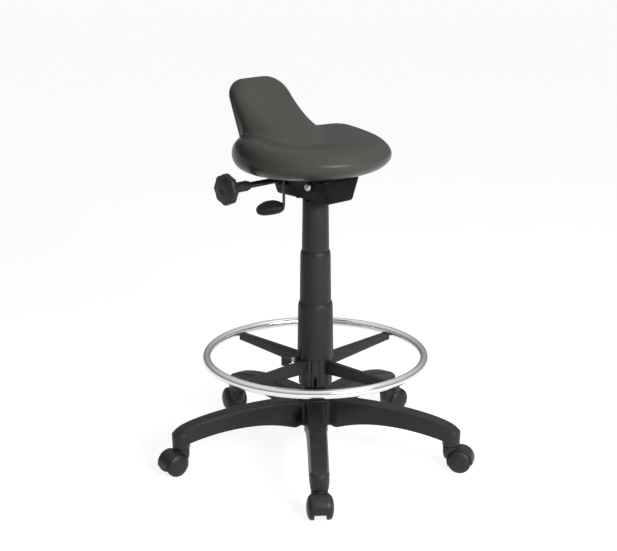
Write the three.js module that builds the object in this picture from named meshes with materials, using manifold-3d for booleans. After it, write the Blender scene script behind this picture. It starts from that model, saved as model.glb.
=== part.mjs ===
// A perch stool: a moulded seat with a small backrest on a tilt mechanism, a gas lift under three
// telescoping covers, a chrome foot ring, and a five-star base on twin-wheel castors.
// Millimetres, +Z up. The seat faces -Y, so the user's right hand is on the -X side.
import * as THREE from "three";
import { mergeVertices } from "three/addons/utils/BufferGeometryUtils.js";
import Module from "manifold-3d";

// Fits shared by every piece
const seatGap = 0.3; // between pieces that seat on or in each other
const runGap = 0.7; // between pieces that turn or slide past each other
const overrun = 2; // how far a cutting solid runs past the face it cuts
const fullTurn = 360;
const halfTurn = 180;

// Heights that the other heights are measured from
const hubTop = 135; // of the base, over the floor
const ringHubTop = 225; // of the foot ring's hub
const seatUnderside = 628;

// How the pieces are turned under the seat, in degrees from +X
const baseTurn = 12.32; // first arm of the star
const ringTurn = 2.4; // first arm of the foot ring's spider
const ringKnobTurn = 137; // foot ring's lock knob
const hubSlotTurn = -133; // split in the foot ring's hub
const leverTurn = 137; // height lever

// Castors
const castorCount = 5;
const castorCircle = 300; // radius of the circle that the stems stand on
const castorTrail = 21.5; // from the stem to the axle
const castorSwivels = [-18, -13, 19, 2, 0]; // how far each castor is turned from straight out, in degrees
const wheelRadius = 25;
const wheelInnerFace = 12.4; // from the castor's middle plane to a wheel's inner face
const wheelTread = 6.2; // width of the part that runs on the floor
const wheelDome = 9; // how far the outer face bulges past the tread
const wheelBore = 3.3;
const wheelCapRadius = 12;
const wheelCapStep = 0.8;
const wheelDome_shares = [0.88, 0.66]; // parts of the radius where the dome's facets meet
const axleRadius = 3;
const axleReach = 22; // half the axle's length
const hoodThickness = 2.4;
const hoodGap = 1.3; // radial gap between the tread and the hood
const hoodHalfWidth = 18.8;
const hoodWebGap = 0.6; // between the web and a wheel's inner face
const hoodFloorGap = 10; // under the web
const hoodFrontAngle = -27; // degrees below the axle where the hood ends in front
const hoodTopAngle = 98; // where the round of the hood meets the boss
const hoodBackAngle = 200; // where the round starts again under the boss
const hoodBossRadius = 16;
const hoodBossTop = 52;
const hoodShoulder = 9; // rounding of the hood's upper edges
const socketGap = 4; // from the hood's boss up to the arm's socket
const stemRadius = 5.5;
const stemCollarRadius = 9;
const stemCollarHeight = 2.4;
const stemInHood = 20;
const stemInSocket = 22;
const stemTip = 1.2;

// Star base
const hubRadius = 41;
const hubDepth = 60;
const hubBottom = hubTop - hubDepth;
const hubEdge = 3;
const hubBossWall = 6;
const hubSkin = 9;
const hubPocket_share = 0.65; // part of the pitch that a pocket takes
const armRoot = 33; // radius at which the arms start inside the hub
const armTopStep = 2.5; // from the hub's top down to the arms'
const armTopDrop = 39; // how far the top falls towards the tip
const armTipReach = 15; // past the stem circle, where the top's curve ends
const armTopPower_share = 2.5;
const archDrop = 45.5; // from the hub's top down to the highest point of the arm's underside
const archRadius = 150; // where that point is
const archReach = 140;
const archFall = 22; // fall of the underside over that reach
const armTopWidth = 38;
const armRootWidth = 46;
const armTipWidth = 40;
const armEdge = 4;
const armFlare = 11; // how far the arm widens into the hub
const armFlareReach = 30;
const armWall = 3.2;
const armSkin = 4.5;
const armRib = 3;
const armRibCount = 2;
const socketRadius = 19.5;
const socketFoot = 18.6;
const socketLength = 42.4;
const socketBottom = hoodBossTop + socketGap;
const socketTop = socketBottom + socketLength;
const socketRound = 9;
const armStation_shares = [0, 0.05, 0.11, 0.35, 0.6, 0.82, 1];

// Gas lift column
const tubeRadius = 25;
const tubeWall = 2;
const tubeTail = 9; // tube showing under the base hub
const tubeBottom = hubBottom - tubeTail;
const tubeLength = 279;
const tubeTop = tubeBottom + tubeLength;
const tubeTaper = 0.8; // how much the radius falls inside the base hub
const tubeFloor = 3;
const rodRadius = 5;
const rodTail = 9; // rod showing under the tube
const rodBottom = tubeBottom - rodTail;
const rodLength = 255;
const rodTop = rodBottom + rodLength;
const pistonHeight = 12;
const bearingRadius = 19;
const bearingHeight = 6;
const rodCollarRadius = 11;
const rodCollarHeight = 4;
const clipRadius = 9;
const clipHeight = 2.5;
const clipSlotWidth = 4;
const bushLength = 60;
const bushFlange = 3;
const cylinderRadius = 14;
const cylinderWall = 2.5;
const cylinderLength = 368;
const cylinderDrop = 17; // from the housing's top edge down to the cylinder's end
const cylinderTaper = 0.7;
const cylinderEnd = 6;
const pinRadius = 3;
const pinLength = 22;
const pinProud = 4.5; // how far the release pin stands out of the cylinder

// Telescoping covers
const coverWall = 1.6;
const coverSlope_share = 0.0134; // fall of radius for each millimetre of height
const coverLip = 3;
const lowerCoverRadius = 38.6;
const lowerCoverLength = 125;
const middleCoverRadius = 34.1;
const middleCoverOverlap = 48.3; // length of the middle cover inside the lower one
const middleCoverLength = 160;
const topCoverRadius = 29.35;
const topCoverOverlap = 42; // length of the top cover inside the middle one
const topCoverLength = 150;
const coverBead = 0.75; // how far a bead stands out of a cover's lower rim
const coverBeadHeight = 4;
const lipClearance = 0.25;

// Foot ring and its spider
const ringRadius = 232.5;
const ringTube = 9.5;
const ringHubRadius = 35.7;
const ringHubDepth = 61;
const ringHubBottom = ringHubTop - ringHubDepth;
const ringHubFlutes = 12;
const ringHubFluteDepth = 2.2;
const ringHubFlute_share = 0.32; // part of the pitch that a groove takes
const spiderArms = 4;
const spiderArmWidth = 13;
const spiderArmStep = 3; // from the hub's top down to the arms'
const spiderArmTop = ringHubTop - spiderArmStep;
const ringRise = 4.4; // from the arms' top up to the ring's centre line
const ringHeight = spiderArmTop + ringRise;
const spiderRootDepth = 30;
const spiderTipDepth = 17;
const spiderWall = 2.6;
const spiderSkin = 3.4;
const cradleReach = 2; // how far the arm runs past the ring's centre line
const hubSlotWidth = 6;
const hubSlotHeight = 22;
const ringKnobDrop = 6; // from the arms' top down to the lock knob's axis
const ringKnobHeight = spiderArmTop - ringKnobDrop;
const ringKnobRadius = 15;
const ringKnobLength = 22;
const ringKnobStart = 51; // from the column's axis
const ringKnobNeck = 9.5;
const ringKnobNeckLength = 5;
const ringKnobLobes = 6;
const ringKnobLobeDepth = 1.8;
const ringBossRadius = 8;
const ringBossEnd = 44;
const ringScrewRadius = 4;

// Tilt mechanism: pressed housing on the lift, bracket under the seat
const housingGap = 8; // from the seat's underside down to the housing
const housingTop = seatUnderside - housingGap;
const housingDepth = 47;
const housingBottom = housingTop - housingDepth;
const cylinderTop = housingTop - cylinderDrop;
const cylinderBottom = cylinderTop - cylinderLength;
const housingHalfWidth = 50;
const housingFloorHalfWidth = 34.5;
const housingFront = 79;
const housingRear = 86;
const housingEndDraft = 3;
const housingWall = 2.5;
const housingRound = 5;
const housingPad = 11; // radius of the flat pads under the bolts
const socketTubeRadius = 19;
const socketTubeStep = 3; // from the cylinder's end down to the end of its socket
const socketTubeTop = cylinderTop - socketTubeStep;
const pivotForward = 32; // the tilt pivot, ahead of the column's axis
const pivotDrop = 13; // from the housing's top edge down to the pivot
const pivotHeight = housingTop - pivotDrop;
const pivotRadius = 5;
const pivotHeadRadius = 8.5;
const pivotHeadHeight = 6;
const pivotHeadTop_share = 0.7; // how wide the domed head's flat top is
const pivotNutRadius = 8.5;
const pivotNutHeight = 8;
const pivotEnd = 3; // thread past the nut
const clampBack = 58; // the clamp rod, behind the column's axis
const clampDrop = 12;
const clampHeight = housingTop - clampDrop;
const clampRadius = 5;
const clampKnobReach = 132; // where the knob's inner end is
const clampNutHeight = 8;
const clampNutRadius = 9;
const knobRadius = 32.6;
const knobLength = 17;
const knobLobes = 8;
const knobLobeDepth = 2.2;
const knobEdge = 4;
const knobFaceDish = 3;
const knobFaceRadius = 14;
const collarRadius = 10.8;
const collarLength = 52;
const collarStep = 1.5;
const collarStepLength = 5;
const collarFlange = 28; // length of the collar's wide part
const collarNeck = 9;
const collarRoot = 14;
const knobSocketDepth = 60;
const leverWireRadius = 3;
const leverHinge = 34; // lever's hinge, from the column's axis
const leverDrop = 66; // where the wire turns down
const leverBend = 7;
const leverFall = 61.8; // how far below the hinge the wire turns out into the paddle
const leverEarWidth = 12;
const leverEarThickness = 2.5;
const leverEarSpread = 8; // from the wire to an ear's inner face
const leverPinRadius = 2.5;
const leverSlotWidth = 10;
const leverSlotDepth = 21; // notch in the wall's upper edge where the lever passes
const paddleLength = 60;
const paddleWidth = 36;
const paddleThickness = 6;
const paddleOffset = 5; // the wire runs this far above the blade's middle line
const paddleTilt = 42; // degrees, the blade turned down towards the front
const paddleDroop = 8; // degrees
const paddleStart = -9; // the blade's inner end, from the end of the wire's bend
const paddleGrip = 26; // wire inside the paddle
const paddleSocketRadius = 5;
const paddleLevel_shares = [-1, -0.45, 0.45, 1]; // heights of the blade's rings
const paddleReach_shares = [0.62, 1, 1, 0.62]; // how far out each ring stands
const paddleCorner_share = 0.72;
const bracketThickness = 3;
const bracketHalfWidth = 46;
const bracketFront = 66;
const bracketRear = 73;
const bracketCorner = 9;
const earOuter = 30;
const pivotEarFront = 46;
const pivotEarRear = 18;
const pivotEarEdge = 10; // from the pivot down to its ears' lower edge
const pivotEarBottom = pivotHeight - pivotEarEdge;
const clampEarFront = 46;
const clampEarRear = 67;
const clampEarChamfer = 6;
const clampEarEdge = 21.5; // from the clamp rod down to its ears' lower edge
const clampEarBottom = clampHeight - clampEarEdge;
const tiltForward = 8.6; // degrees that the clamp slot allows each way
const tiltBack = 3.6;
const nutSides = 6;
const bracketBolt = 38; // bolt places, across and along
const bracketBoltFront = 54;
const bracketBoltRear = 44;
const boltRadius = 4;
const boltHeadRadius = 6.5;
const boltHeadHeight = 3.6;
const boltLength = 14;

// Seat
const seatRadius = 165.1;
const seatBack = 11.8; // the seat's middle, behind the column's axis
const seatRimRise = 36.3; // from the underside up to the rim's widest level
const seatRimHeight = seatUnderside + seatRimRise;
const seatCrestRise = 30.4;
const seatCrest = seatRimHeight + seatCrestRise;
const seatCrestInset = 29.2; // from the rim's widest point in to the crest
const seatRim_share = 0.9; // below 1, the rim's underside is fuller than a quarter of an ellipse
const seatDish = 13; // how far the middle lies under the crest
const seatPanRadius = 110; // flat part of the underside
const seatBoardRadius = 105;
const seatBoardThickness = 12;
const backRise = 106.9;
const backTop = seatCrest + backRise;
const backRear = 214.5; // rear face at the top, behind the column's axis
const backLean_share = 0.46; // how far the rear face comes forward as it goes down
const backRootDepth = 12.7; // how far the backrest reaches down into the seat
const backRootHeight = seatCrest - backRootDepth;
const backHalfWidth = 79.8;
const backTaper = 5.5; // how much narrower each side is at the top
const backThickness = 44;
const backFlareWidth = 35.6; // widening towards the front, at the seat's crest
const backFlareDepth = 89.2;
const backFlareHeight = 125.1;
const backTopRound = 37.7; // height of the rounding of the top corners
const backTopRoundWidth = 44.9; // and its width
const backFlarePower_share = 2.16;
const backTopEnd_share = 0.94; // how far round the top edge the last ring lies
const backTopThin_share = 0.75;
const backCorner_share = 0.62;
const backLevel_shares = [0, 0.16, 0.32, 0.46, 0.6, 0.72, 0.82, 0.9, 0.96, 1]; // heights of its rings

// Materials
function paint(color, roughness, metalness) {
  return new THREE.MeshStandardMaterial({ color, roughness, metalness });
}
const nylon = paint(0x2a2a2c, 0.55, 0);
const coverPlastic = paint(0x3a3a3c, 0.5, 0);
const moulding = paint(0x45463f, 0.5, 0);
const chrome = paint(0xd8dadd, 0.08, 1);
const paintedSteel = paint(0x141411, 0.5, 0.3);
const brightSteel = paint(0xa9abae, 0.3, 1);
const plywood = paint(0xb48a5a, 0.7, 0);
const acetal = paint(0xd9d8d2, 0.5, 0);

const wasm = await Module();
wasm.setup();
const radians = THREE.MathUtils.degToRad;

// A closed geometry as a solid that can be cut and joined.
function toSolid(geometry) {
  const bare = geometry.clone();
  bare.deleteAttribute("normal");
  bare.deleteAttribute("uv");
  const merged = mergeVertices(bare);
  const corners = merged.index.array;
  const triVerts = [];
  for (let i = 0; i < corners.length; i += 3) {
    const [a, b, c] = [corners[i], corners[i + 1], corners[i + 2]];
    if (a !== b && b !== c && c !== a) triVerts.push(a, b, c);
  }
  return new wasm.Manifold(
    new wasm.Mesh({
      numProp: 3,
      vertProperties: merged.attributes.position.array,
      triVerts: new Uint32Array(triVerts),
    }),
  );
}

function toGeometry(solid) {
  const mesh = solid.getMesh();
  const geometry = new THREE.BufferGeometry();
  geometry.setAttribute("position", new THREE.BufferAttribute(mesh.vertProperties, 3));
  geometry.setIndex(new THREE.BufferAttribute(mesh.triVerts, 1));
  return geometry;
}

function join(...geometries) {
  return toGeometry(geometries.map(toSolid).reduce((whole, piece) => whole.add(piece)));
}

function cut(body, ...tools) {
  return toGeometry(tools.map(toSolid).reduce((whole, tool) => whole.subtract(tool), toSolid(body)));
}

function common(first, second) {
  return toGeometry(toSolid(first).intersect(toSolid(second)));
}

// A profile of [radius, height] points turned about Z. It starts and ends on the axis or on itself.
function turned(profile, sides) {
  const points = profile.map(([radius, height]) => new THREE.Vector2(radius, height));
  if (THREE.ShapeUtils.area(points) < 0) points.reverse();
  return new THREE.LatheGeometry(points, sides).rotateX(Math.PI / 2);
}

function disc(radius, bottom, top, sides = 24) {
  return turned([[0, bottom], [radius, bottom], [radius, top], [0, top]], sides);
}

// A ring of rectangular section about Z.
function sleeve(inner, outer, bottom, top, sides = 32) {
  return turned([[inner, bottom], [outer, bottom], [outer, top], [inner, top], [inner, bottom]], sides);
}

// A closed outline of [x, y] points, extruded up from z = 0.
function prism(outline, height) {
  const shape = new THREE.Shape(outline.map(([x, y]) => new THREE.Vector2(x, y)));
  return new THREE.ExtrudeGeometry(shape, { depth: height, bevelEnabled: false });
}

// An outline in the YZ plane, extruded both ways along X from the middle.
function alongX(outline, halfWidth) {
  return prism(outline, 2 * halfWidth).translate(0, 0, -halfWidth).rotateX(Math.PI / 2).rotateZ(Math.PI / 2);
}

// An outline of [x, z] points, extruded along Y from front to rear.
function alongY(outline, front, rear) {
  return prism(outline, rear - front).rotateX(Math.PI / 2).translate(0, rear, 0);
}

// Rings of points, each as long as the last, joined into a closed skin with flat ends.
function lofted(rings) {
  const count = rings[0].length;
  const positions = rings.flat(2);
  const faces = [];
  for (let ring = 0; ring + 1 < rings.length; ring++) {
    for (let i = 0; i < count; i++) {
      const [a, b] = [ring * count + i, ring * count + ((i + 1) % count)];
      faces.push(a, b, b + count, a, b + count, a + count);
    }
  }
  const last = (rings.length - 1) * count;
  for (let i = 1; i + 1 < count; i++) {
    faces.push(0, i + 1, i, last, last + i, last + i + 1);
  }
  const geometry = new THREE.BufferGeometry();
  geometry.setAttribute("position", new THREE.Float32BufferAttribute(positions, 3));
  geometry.setIndex(faces);
  return geometry;
}

// A round bar along a curve.
function bar(points, radius, sides, steps) {
  const section = new THREE.Shape();
  section.absarc(0, 0, radius, 0, 2 * Math.PI);
  const outline = new THREE.Shape(section.getSpacedPoints(sides).slice(0, sides));
  const path = new THREE.CatmullRomCurve3(points.map((p) => new THREE.Vector3(...p)), false, "centripetal");
  return new THREE.ExtrudeGeometry(outline, { steps, bevelEnabled: false, extrudePath: path });
}

function arcPoints(centreX, centreY, radius, from, to, steps) {
  return Array.from({ length: steps + 1 }, (_, i) => {
    const angle = radians(from + ((to - from) * i) / steps);
    return [centreX + radius * Math.cos(angle), centreY + radius * Math.sin(angle)];
  });
}

function roundedBox(left, right, front, rear, corner, steps = 3) {
  return [
    ...arcPoints(right - corner, rear - corner, corner, 0, 90, steps),
    ...arcPoints(left + corner, rear - corner, corner, 90, 180, steps),
    ...arcPoints(left + corner, front + corner, corner, 180, 270, steps),
    ...arcPoints(right - corner, front + corner, corner, 270, 360, steps),
  ];
}

// A round outline whose radius dips by depth, lobes times round.
function lobedOutline(radius, depth, lobes, steps) {
  return Array.from({ length: lobes * steps }, (_, i) => {
    const angle = (2 * Math.PI * i) / (lobes * steps);
    const reach = radius - (depth * (1 - Math.cos(lobes * angle))) / 2;
    return [reach * Math.cos(angle), reach * Math.sin(angle)];
  });
}

// A round drawn out towards its corners, more so the smaller the share.
function squaredRound(halfWidth, halfDepth, corner_share, steps) {
  const squared = (value) => Math.sign(value) * Math.abs(value) ** corner_share;
  return Array.from({ length: steps }, (_, i) => {
    const angle = (2 * Math.PI * i) / steps;
    return [squared(Math.cos(angle)) * halfWidth, squared(Math.sin(angle)) * halfDepth];
  });
}

const stool = new THREE.Group();
function addPiece(name, geometry, material, parent = stool) {
  const mesh = new THREE.Mesh(geometry, material);
  mesh.name = name;
  parent.add(mesh);
  return mesh;
}

// Star base: five arched arms, hollow underneath and ribbed, with a socket for a castor stem on each tip.
const armTop = (radius) => {
  const share = Math.max(0, (radius - hubRadius) / (castorCircle + armTipReach - hubRadius));
  return hubTop - armTopStep - armTopDrop * share ** armTopPower_share;
};
const armUnderside = (radius) => hubTop - archDrop - archFall * ((radius - archRadius) / archReach) ** 2;
const armHalfWidth = (radius) => {
  const share = (radius - armRoot) / (castorCircle - armRoot);
  const flare = armFlare * Math.max(0, 1 - (radius - armRoot) / armFlareReach) ** 2;
  return (armRootWidth + (armTipWidth - armRootWidth) * share) / 2 + flare;
};

function armSkinAt(radius) {
  const low = armHalfWidth(radius);
  const high = low - (armRootWidth - armTopWidth) / 2;
  const [bottom, top] = [armUnderside(radius), armTop(radius)];
  return [
    [radius, -low, bottom],
    [radius, low, bottom],
    [radius, high + armEdge / 2, top - armEdge],
    [radius, high - armEdge / 2, top],
    [radius, armEdge / 2 - high, top],
    [radius, -high - armEdge / 2, top - armEdge],
  ];
}

function armHollowAt(radius) {
  const low = armHalfWidth(radius) - armWall;
  const high = low - (armRootWidth - armTopWidth) / 2;
  const [bottom, top] = [armUnderside(radius) - overrun, armTop(radius) - armSkin];
  return [
    [radius, -low, bottom],
    [radius, low, bottom],
    [radius, high, top],
    [radius, -high, top],
  ];
}

function makeArm() {
  const radii = armStation_shares.map((share) => armRoot + share * (castorCircle - armRoot));
  return lofted(radii.map(armSkinAt));
}

// The hollow between two cross ribs.
function makeArmPocket(index) {
  const [start, end] = [hubRadius + armWall, castorCircle - socketRadius];
  const pitch = (end - start + armRib) / (armRibCount + 1);
  const from = start + index * pitch;
  const to = from + pitch - armRib;
  return lofted([from, to].map(armHollowAt));
}

function makeSocket() {
  const profile = [
    [0, socketBottom],
    [socketFoot, socketBottom],
    [socketRadius, socketTop - socketRound],
    ...arcPoints(socketRadius - socketRound, socketTop - socketRound, socketRound, 30, 90, 2),
    [0, socketTop],
  ];
  return turned(profile, 15).translate(castorCircle, 0, 0);
}

function makeStarBase() {
  const arms = [];
  const hollows = [];
  for (let i = 0; i < castorCount; i++) {
    const angle = (2 * Math.PI * i) / castorCount;
    arms.push(makeArm().rotateZ(angle), makeSocket().rotateZ(angle));
    for (let rib = 0; rib <= armRibCount; rib++) hollows.push(makeArmPocket(rib).rotateZ(angle));
    const stemRoom = socketBottom + stemInSocket + seatGap;
    const stemHole = disc(stemRadius + seatGap, socketBottom - overrun, stemRoom, 10);
    hollows.push(stemHole.translate(castorCircle, 0, 0).rotateZ(angle));
  }
  const hub = turned(
    [
      [0, hubBottom],
      [hubRadius, hubBottom],
      [hubRadius, hubTop - hubEdge],
      [hubRadius - hubEdge, hubTop],
      [0, hubTop],
    ],
    25,
  );
  // Pockets in the hub's underside, between the boss round the column and the outer wall.
  const pocketInner = tubeRadius + seatGap + hubBossWall;
  for (let i = 0; i < castorCount; i++) {
    const pitch = 360 / castorCount;
    const from = pitch * (i + (1 - hubPocket_share) / 2);
    const to = from + pitch * hubPocket_share;
    const outline = [
      ...arcPoints(0, 0, hubRadius - armWall, from, to, 3),
      ...arcPoints(0, 0, pocketInner, to, from, 3),
    ];
    hollows.push(prism(outline, hubTop - hubSkin - hubBottom + overrun).translate(0, 0, hubBottom - overrun));
  }
  const bore = turned(
    [
      [0, hubBottom - overrun],
      [columnRadiusAt(hubBottom) + seatGap, hubBottom - overrun],
      [columnRadiusAt(hubTop) + seatGap, hubTop + overrun],
      [0, hubTop + overrun],
    ],
    24,
  );
  return cut(join(hub, ...arms), ...hollows, bore);
}

// Radius of the column's outer tube: parallel above the base hub, tapered inside it.
function columnRadiusAt(height) {
  const share = Math.min(1, Math.max(0, (hubTop - height) / (hubTop - tubeBottom)));
  return tubeRadius - tubeTaper * share;
}

const base = new THREE.Group();
base.rotation.z = radians(baseTurn);
stool.add(base);
addPiece("star_base", makeStarBase(), nylon, base);

// Castors: steel stem in the arm's socket, hood with a web between the wheels, axle, and two wheels.
const hoodRadius = wheelRadius + hoodGap + hoodThickness;
const webHalfWidth = wheelInnerFace - hoodWebGap;

// The castor's side outline in its own plane: x runs from the stem to the axle, y is height.
function hoodOutline() {
  const floorAngle = THREE.MathUtils.radToDeg(Math.asin((wheelRadius - hoodFloorGap) / hoodRadius));
  return [
    ...arcPoints(castorTrail, wheelRadius, hoodRadius, -floorAngle, hoodTopAngle, 8),
    [hoodBossRadius, hoodBossTop],
    [-hoodBossRadius, hoodBossTop],
    [-hoodBossRadius, wheelRadius],
    ...arcPoints(castorTrail, wheelRadius, hoodRadius, hoodBackAngle, 180 + floorAngle, 2),
  ];
}

function makeHood() {
  const across = (outline, halfWidth) =>
    prism(outline, 2 * halfWidth).translate(0, 0, -halfWidth).rotateX(Math.PI / 2);
  const shell = across(hoodOutline(), hoodHalfWidth);
  const web = across(hoodOutline(), webHalfWidth);
  const wheelCircle = arcPoints(castorTrail, wheelRadius, wheelRadius + hoodGap, 0, 360, 18).slice(1);
  const wheelRoom = across(wheelCircle, hoodHalfWidth + overrun);
  // Below this line and behind the wheels the hood is open.
  const frontCorner = castorTrail + hoodRadius * Math.cos(radians(hoodFrontAngle));
  const frontHeight = wheelRadius + hoodRadius * Math.sin(radians(hoodFrontAngle));
  const openBelow = across(
    [
      [-hoodBossRadius - overrun, -overrun],
      [frontCorner + overrun, -overrun],
      [frontCorner + overrun, frontHeight],
      [-hoodBossRadius - overrun, frontHeight],
    ],
    hoodHalfWidth + overrun,
  );
  // The upper edges are rounded off, and the boss stays clear of the socket that it turns under.
  const crown = wheelRadius + hoodRadius;
  const front = alongX(
    [
      [-hoodHalfWidth, 0],
      [hoodHalfWidth, 0],
      ...arcPoints(hoodHalfWidth - hoodShoulder, crown - hoodShoulder, hoodShoulder, 0, 90, 2),
      ...arcPoints(hoodShoulder - hoodHalfWidth, crown - hoodShoulder, hoodShoulder, 90, 180, 2),
    ],
    castorTrail + hoodRadius + overrun,
  );
  const socketRoom = disc(socketRadius + runGap, hoodBossTop, crown + overrun, 20);
  const cover = common(cut(shell, wheelRoom, openBelow), front);
  const stemHole = disc(stemRadius + seatGap, hoodBossTop - stemInHood, hoodBossTop + overrun, 10);
  const axleHole = disc(axleRadius + seatGap, -hoodHalfWidth, hoodHalfWidth, 10)
    .rotateX(Math.PI / 2)
    .translate(castorTrail, 0, wheelRadius);
  return cut(join(cover, web), socketRoom, stemHole, axleHole);
}

function makeStem() {
  const bottom = hoodBossTop - stemInHood + seatGap;
  const top = socketBottom + stemInSocket;
  const collar = hoodBossTop + seatGap;
  return turned(
    [
      [0, bottom],
      [stemRadius, bottom],
      [stemRadius, collar],
      [stemCollarRadius, collar],
      [stemCollarRadius, collar + stemCollarHeight],
      [stemRadius, collar + stemCollarHeight],
      [stemRadius, top - stemTip],
      [stemRadius - stemTip, top],
      [0, top],
    ],
    10,
  );
}

// A wheel about Y, its inner face towards the castor's middle plane and its outer face domed.
function makeWheel() {
  const treadEnd = wheelInnerFace + wheelTread;
  const domeAt = (radius) => treadEnd + wheelDome * Math.sqrt(Math.max(0, 1 - (radius / wheelRadius) ** 2));
  const capFace = domeAt(wheelCapRadius) - wheelCapStep;
  return turned(
    [
      [wheelBore, wheelInnerFace],
      [wheelRadius, wheelInnerFace],
      [wheelRadius, treadEnd],
      ...wheelDome_shares.map((share) => [share * wheelRadius, domeAt(share * wheelRadius)]),
      [wheelCapRadius, domeAt(wheelCapRadius)],
      [wheelCapRadius - wheelCapStep, capFace],
      [wheelBore, capFace],
      [wheelBore, wheelInnerFace],
    ],
    18,
  ).rotateX(-Math.PI / 2);
}

const hoodGeometry = makeHood();
const stemGeometry = makeStem();
const wheelGeometry = makeWheel();
const axleGeometry = disc(axleRadius, -axleReach, axleReach, 10).rotateX(Math.PI / 2);
for (let i = 1; i <= castorCount; i++) {
  const castor = new THREE.Group();
  const angle = (2 * Math.PI * (i - 1)) / castorCount;
  castor.position.set(castorCircle * Math.cos(angle), castorCircle * Math.sin(angle), 0);
  castor.rotation.z = angle + radians(castorSwivels[(i - 1) % castorSwivels.length]);
  base.add(castor);
  addPiece(`castor_stem_${i}`, stemGeometry, brightSteel, castor);
  addPiece(`castor_hood_${i}`, hoodGeometry, nylon, castor);
  const axle = addPiece(`castor_axle_${i}`, axleGeometry, brightSteel, castor);
  const left = addPiece(`castor_wheel_${i}_left`, wheelGeometry, nylon, castor);
  const right = addPiece(`castor_wheel_${i}_right`, wheelGeometry, nylon, castor);
  for (const piece of [axle, left, right]) piece.position.set(castorTrail, 0, wheelRadius);
  right.rotation.z = Math.PI;
}

// Gas lift: outer tube in the base hub, guide bush, and a piston rod hung on a thrust bearing.
function makeColumnTube() {
  const inner = tubeRadius - tubeWall;
  return turned(
    [
      [rodRadius + runGap, tubeBottom],
      [columnRadiusAt(tubeBottom), tubeBottom],
      [tubeRadius, hubTop],
      [tubeRadius, tubeTop],
      [inner, tubeTop],
      [inner, hubTop],
      [columnRadiusAt(tubeBottom) - tubeWall, tubeBottom + tubeFloor],
      [rodRadius + runGap, tubeBottom + tubeFloor],
      [rodRadius + runGap, tubeBottom],
    ],
    24,
  );
}
addPiece("column_tube", makeColumnTube(), paintedSteel);

function makeGuideBush() {
  const bore = cylinderRadius + runGap / 2;
  const outer = tubeRadius - tubeWall - seatGap;
  const seat = tubeTop + seatGap;
  return turned(
    [
      [bore, seat - bushLength],
      [outer, seat - bushLength],
      [outer, seat],
      [tubeRadius, seat],
      [tubeRadius, seat + bushFlange],
      [bore, seat + bushFlange],
      [bore, seat - bushLength],
    ],
    16,
  );
}
addPiece("guide_bush", makeGuideBush(), acetal);

const bearingSeat = tubeBottom + tubeFloor + seatGap;
addPiece(
  "thrust_bearing",
  sleeve(rodRadius + seatGap, bearingRadius, bearingSeat, bearingSeat + bearingHeight, 16),
  brightSteel,
);

const rodCollarSeat = bearingSeat + bearingHeight + seatGap;
const pistonRadius = cylinderRadius - cylinderWall - runGap / 2;
const clipSeat = tubeBottom - seatGap - clipHeight;
const rodGroove = rodRadius - clipHeight / 2;
addPiece(
  "piston_rod",
  turned(
    [
      [0, rodBottom],
      [rodRadius, rodBottom],
      [rodRadius, clipSeat - seatGap],
      [rodGroove, clipSeat - seatGap],
      [rodGroove, clipSeat + clipHeight],
      [rodRadius, clipSeat + clipHeight],
      [rodRadius, rodCollarSeat],
      [rodCollarRadius, rodCollarSeat],
      [rodCollarRadius, rodCollarSeat + rodCollarHeight],
      [rodRadius, rodCollarSeat + rodCollarHeight],
      [rodRadius, rodTop - pistonHeight],
      [pistonRadius, rodTop - pistonHeight],
      [pistonRadius, rodTop],
      [0, rodTop],
    ],
    12,
  ),
  brightSteel,
);

// The clip slides on to the rod's groove from the side, so it is open on one side.
addPiece(
  "rod_clip",
  cut(
    sleeve(rodGroove + seatGap, clipRadius, clipSeat, clipSeat + clipHeight - seatGap, 16),
    new THREE.BoxGeometry(clipRadius, clipSlotWidth, 2 * clipHeight).translate(
      clipRadius / 2 + rodGroove / 2,
      0,
      clipSeat + clipHeight / 2,
    ),
  ),
  brightSteel,
);

function makeGasCylinder() {
  const bore = cylinderRadius - cylinderWall;
  const taperStart = housingBottom;
  return turned(
    [
      [rodRadius + runGap / 2, cylinderBottom],
      [cylinderRadius, cylinderBottom],
      [cylinderRadius, taperStart],
      [cylinderRadius - cylinderTaper, cylinderTop],
      [pinRadius + seatGap, cylinderTop],
      [pinRadius + seatGap, cylinderTop - 2 * cylinderEnd],
      [bore, cylinderTop - 2 * cylinderEnd],
      [bore, cylinderBottom + cylinderEnd],
      [rodRadius + runGap / 2, cylinderBottom + cylinderEnd],
      [rodRadius + runGap / 2, cylinderBottom],
    ],
    16,
  );
}
addPiece("gas_cylinder", makeGasCylinder(), brightSteel);
addPiece(
  "release_pin",
  disc(pinRadius, cylinderTop + pinProud - pinLength, cylinderTop + pinProud, 14),
  brightSteel,
);

// Covers: three tapered sleeves. A bead round the lower rim of one meets the lip inside the next.
const coverRadiusAt = (radius, rise) => radius - coverSlope_share * rise;

function makeCover(radius, bottom, length, options) {
  const topRadius = coverRadiusAt(radius, length);
  const bead = options.bead ? coverBead : 0;
  const inner = radius - coverWall;
  const profile = [
    [inner, bottom],
    [radius + bead, bottom],
    [radius + bead, bottom + coverBeadHeight],
    [coverRadiusAt(radius, coverBeadHeight + bead), bottom + coverBeadHeight + bead],
    [topRadius, bottom + length],
    [options.lipRadius, bottom + length],
    [options.lipRadius, bottom + length - coverLip],
    [topRadius - coverWall, bottom + length - coverLip],
    [inner, bottom],
  ];
  if (!options.bead) profile.splice(2, 2);
  return turned(profile, 28);
}

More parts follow.
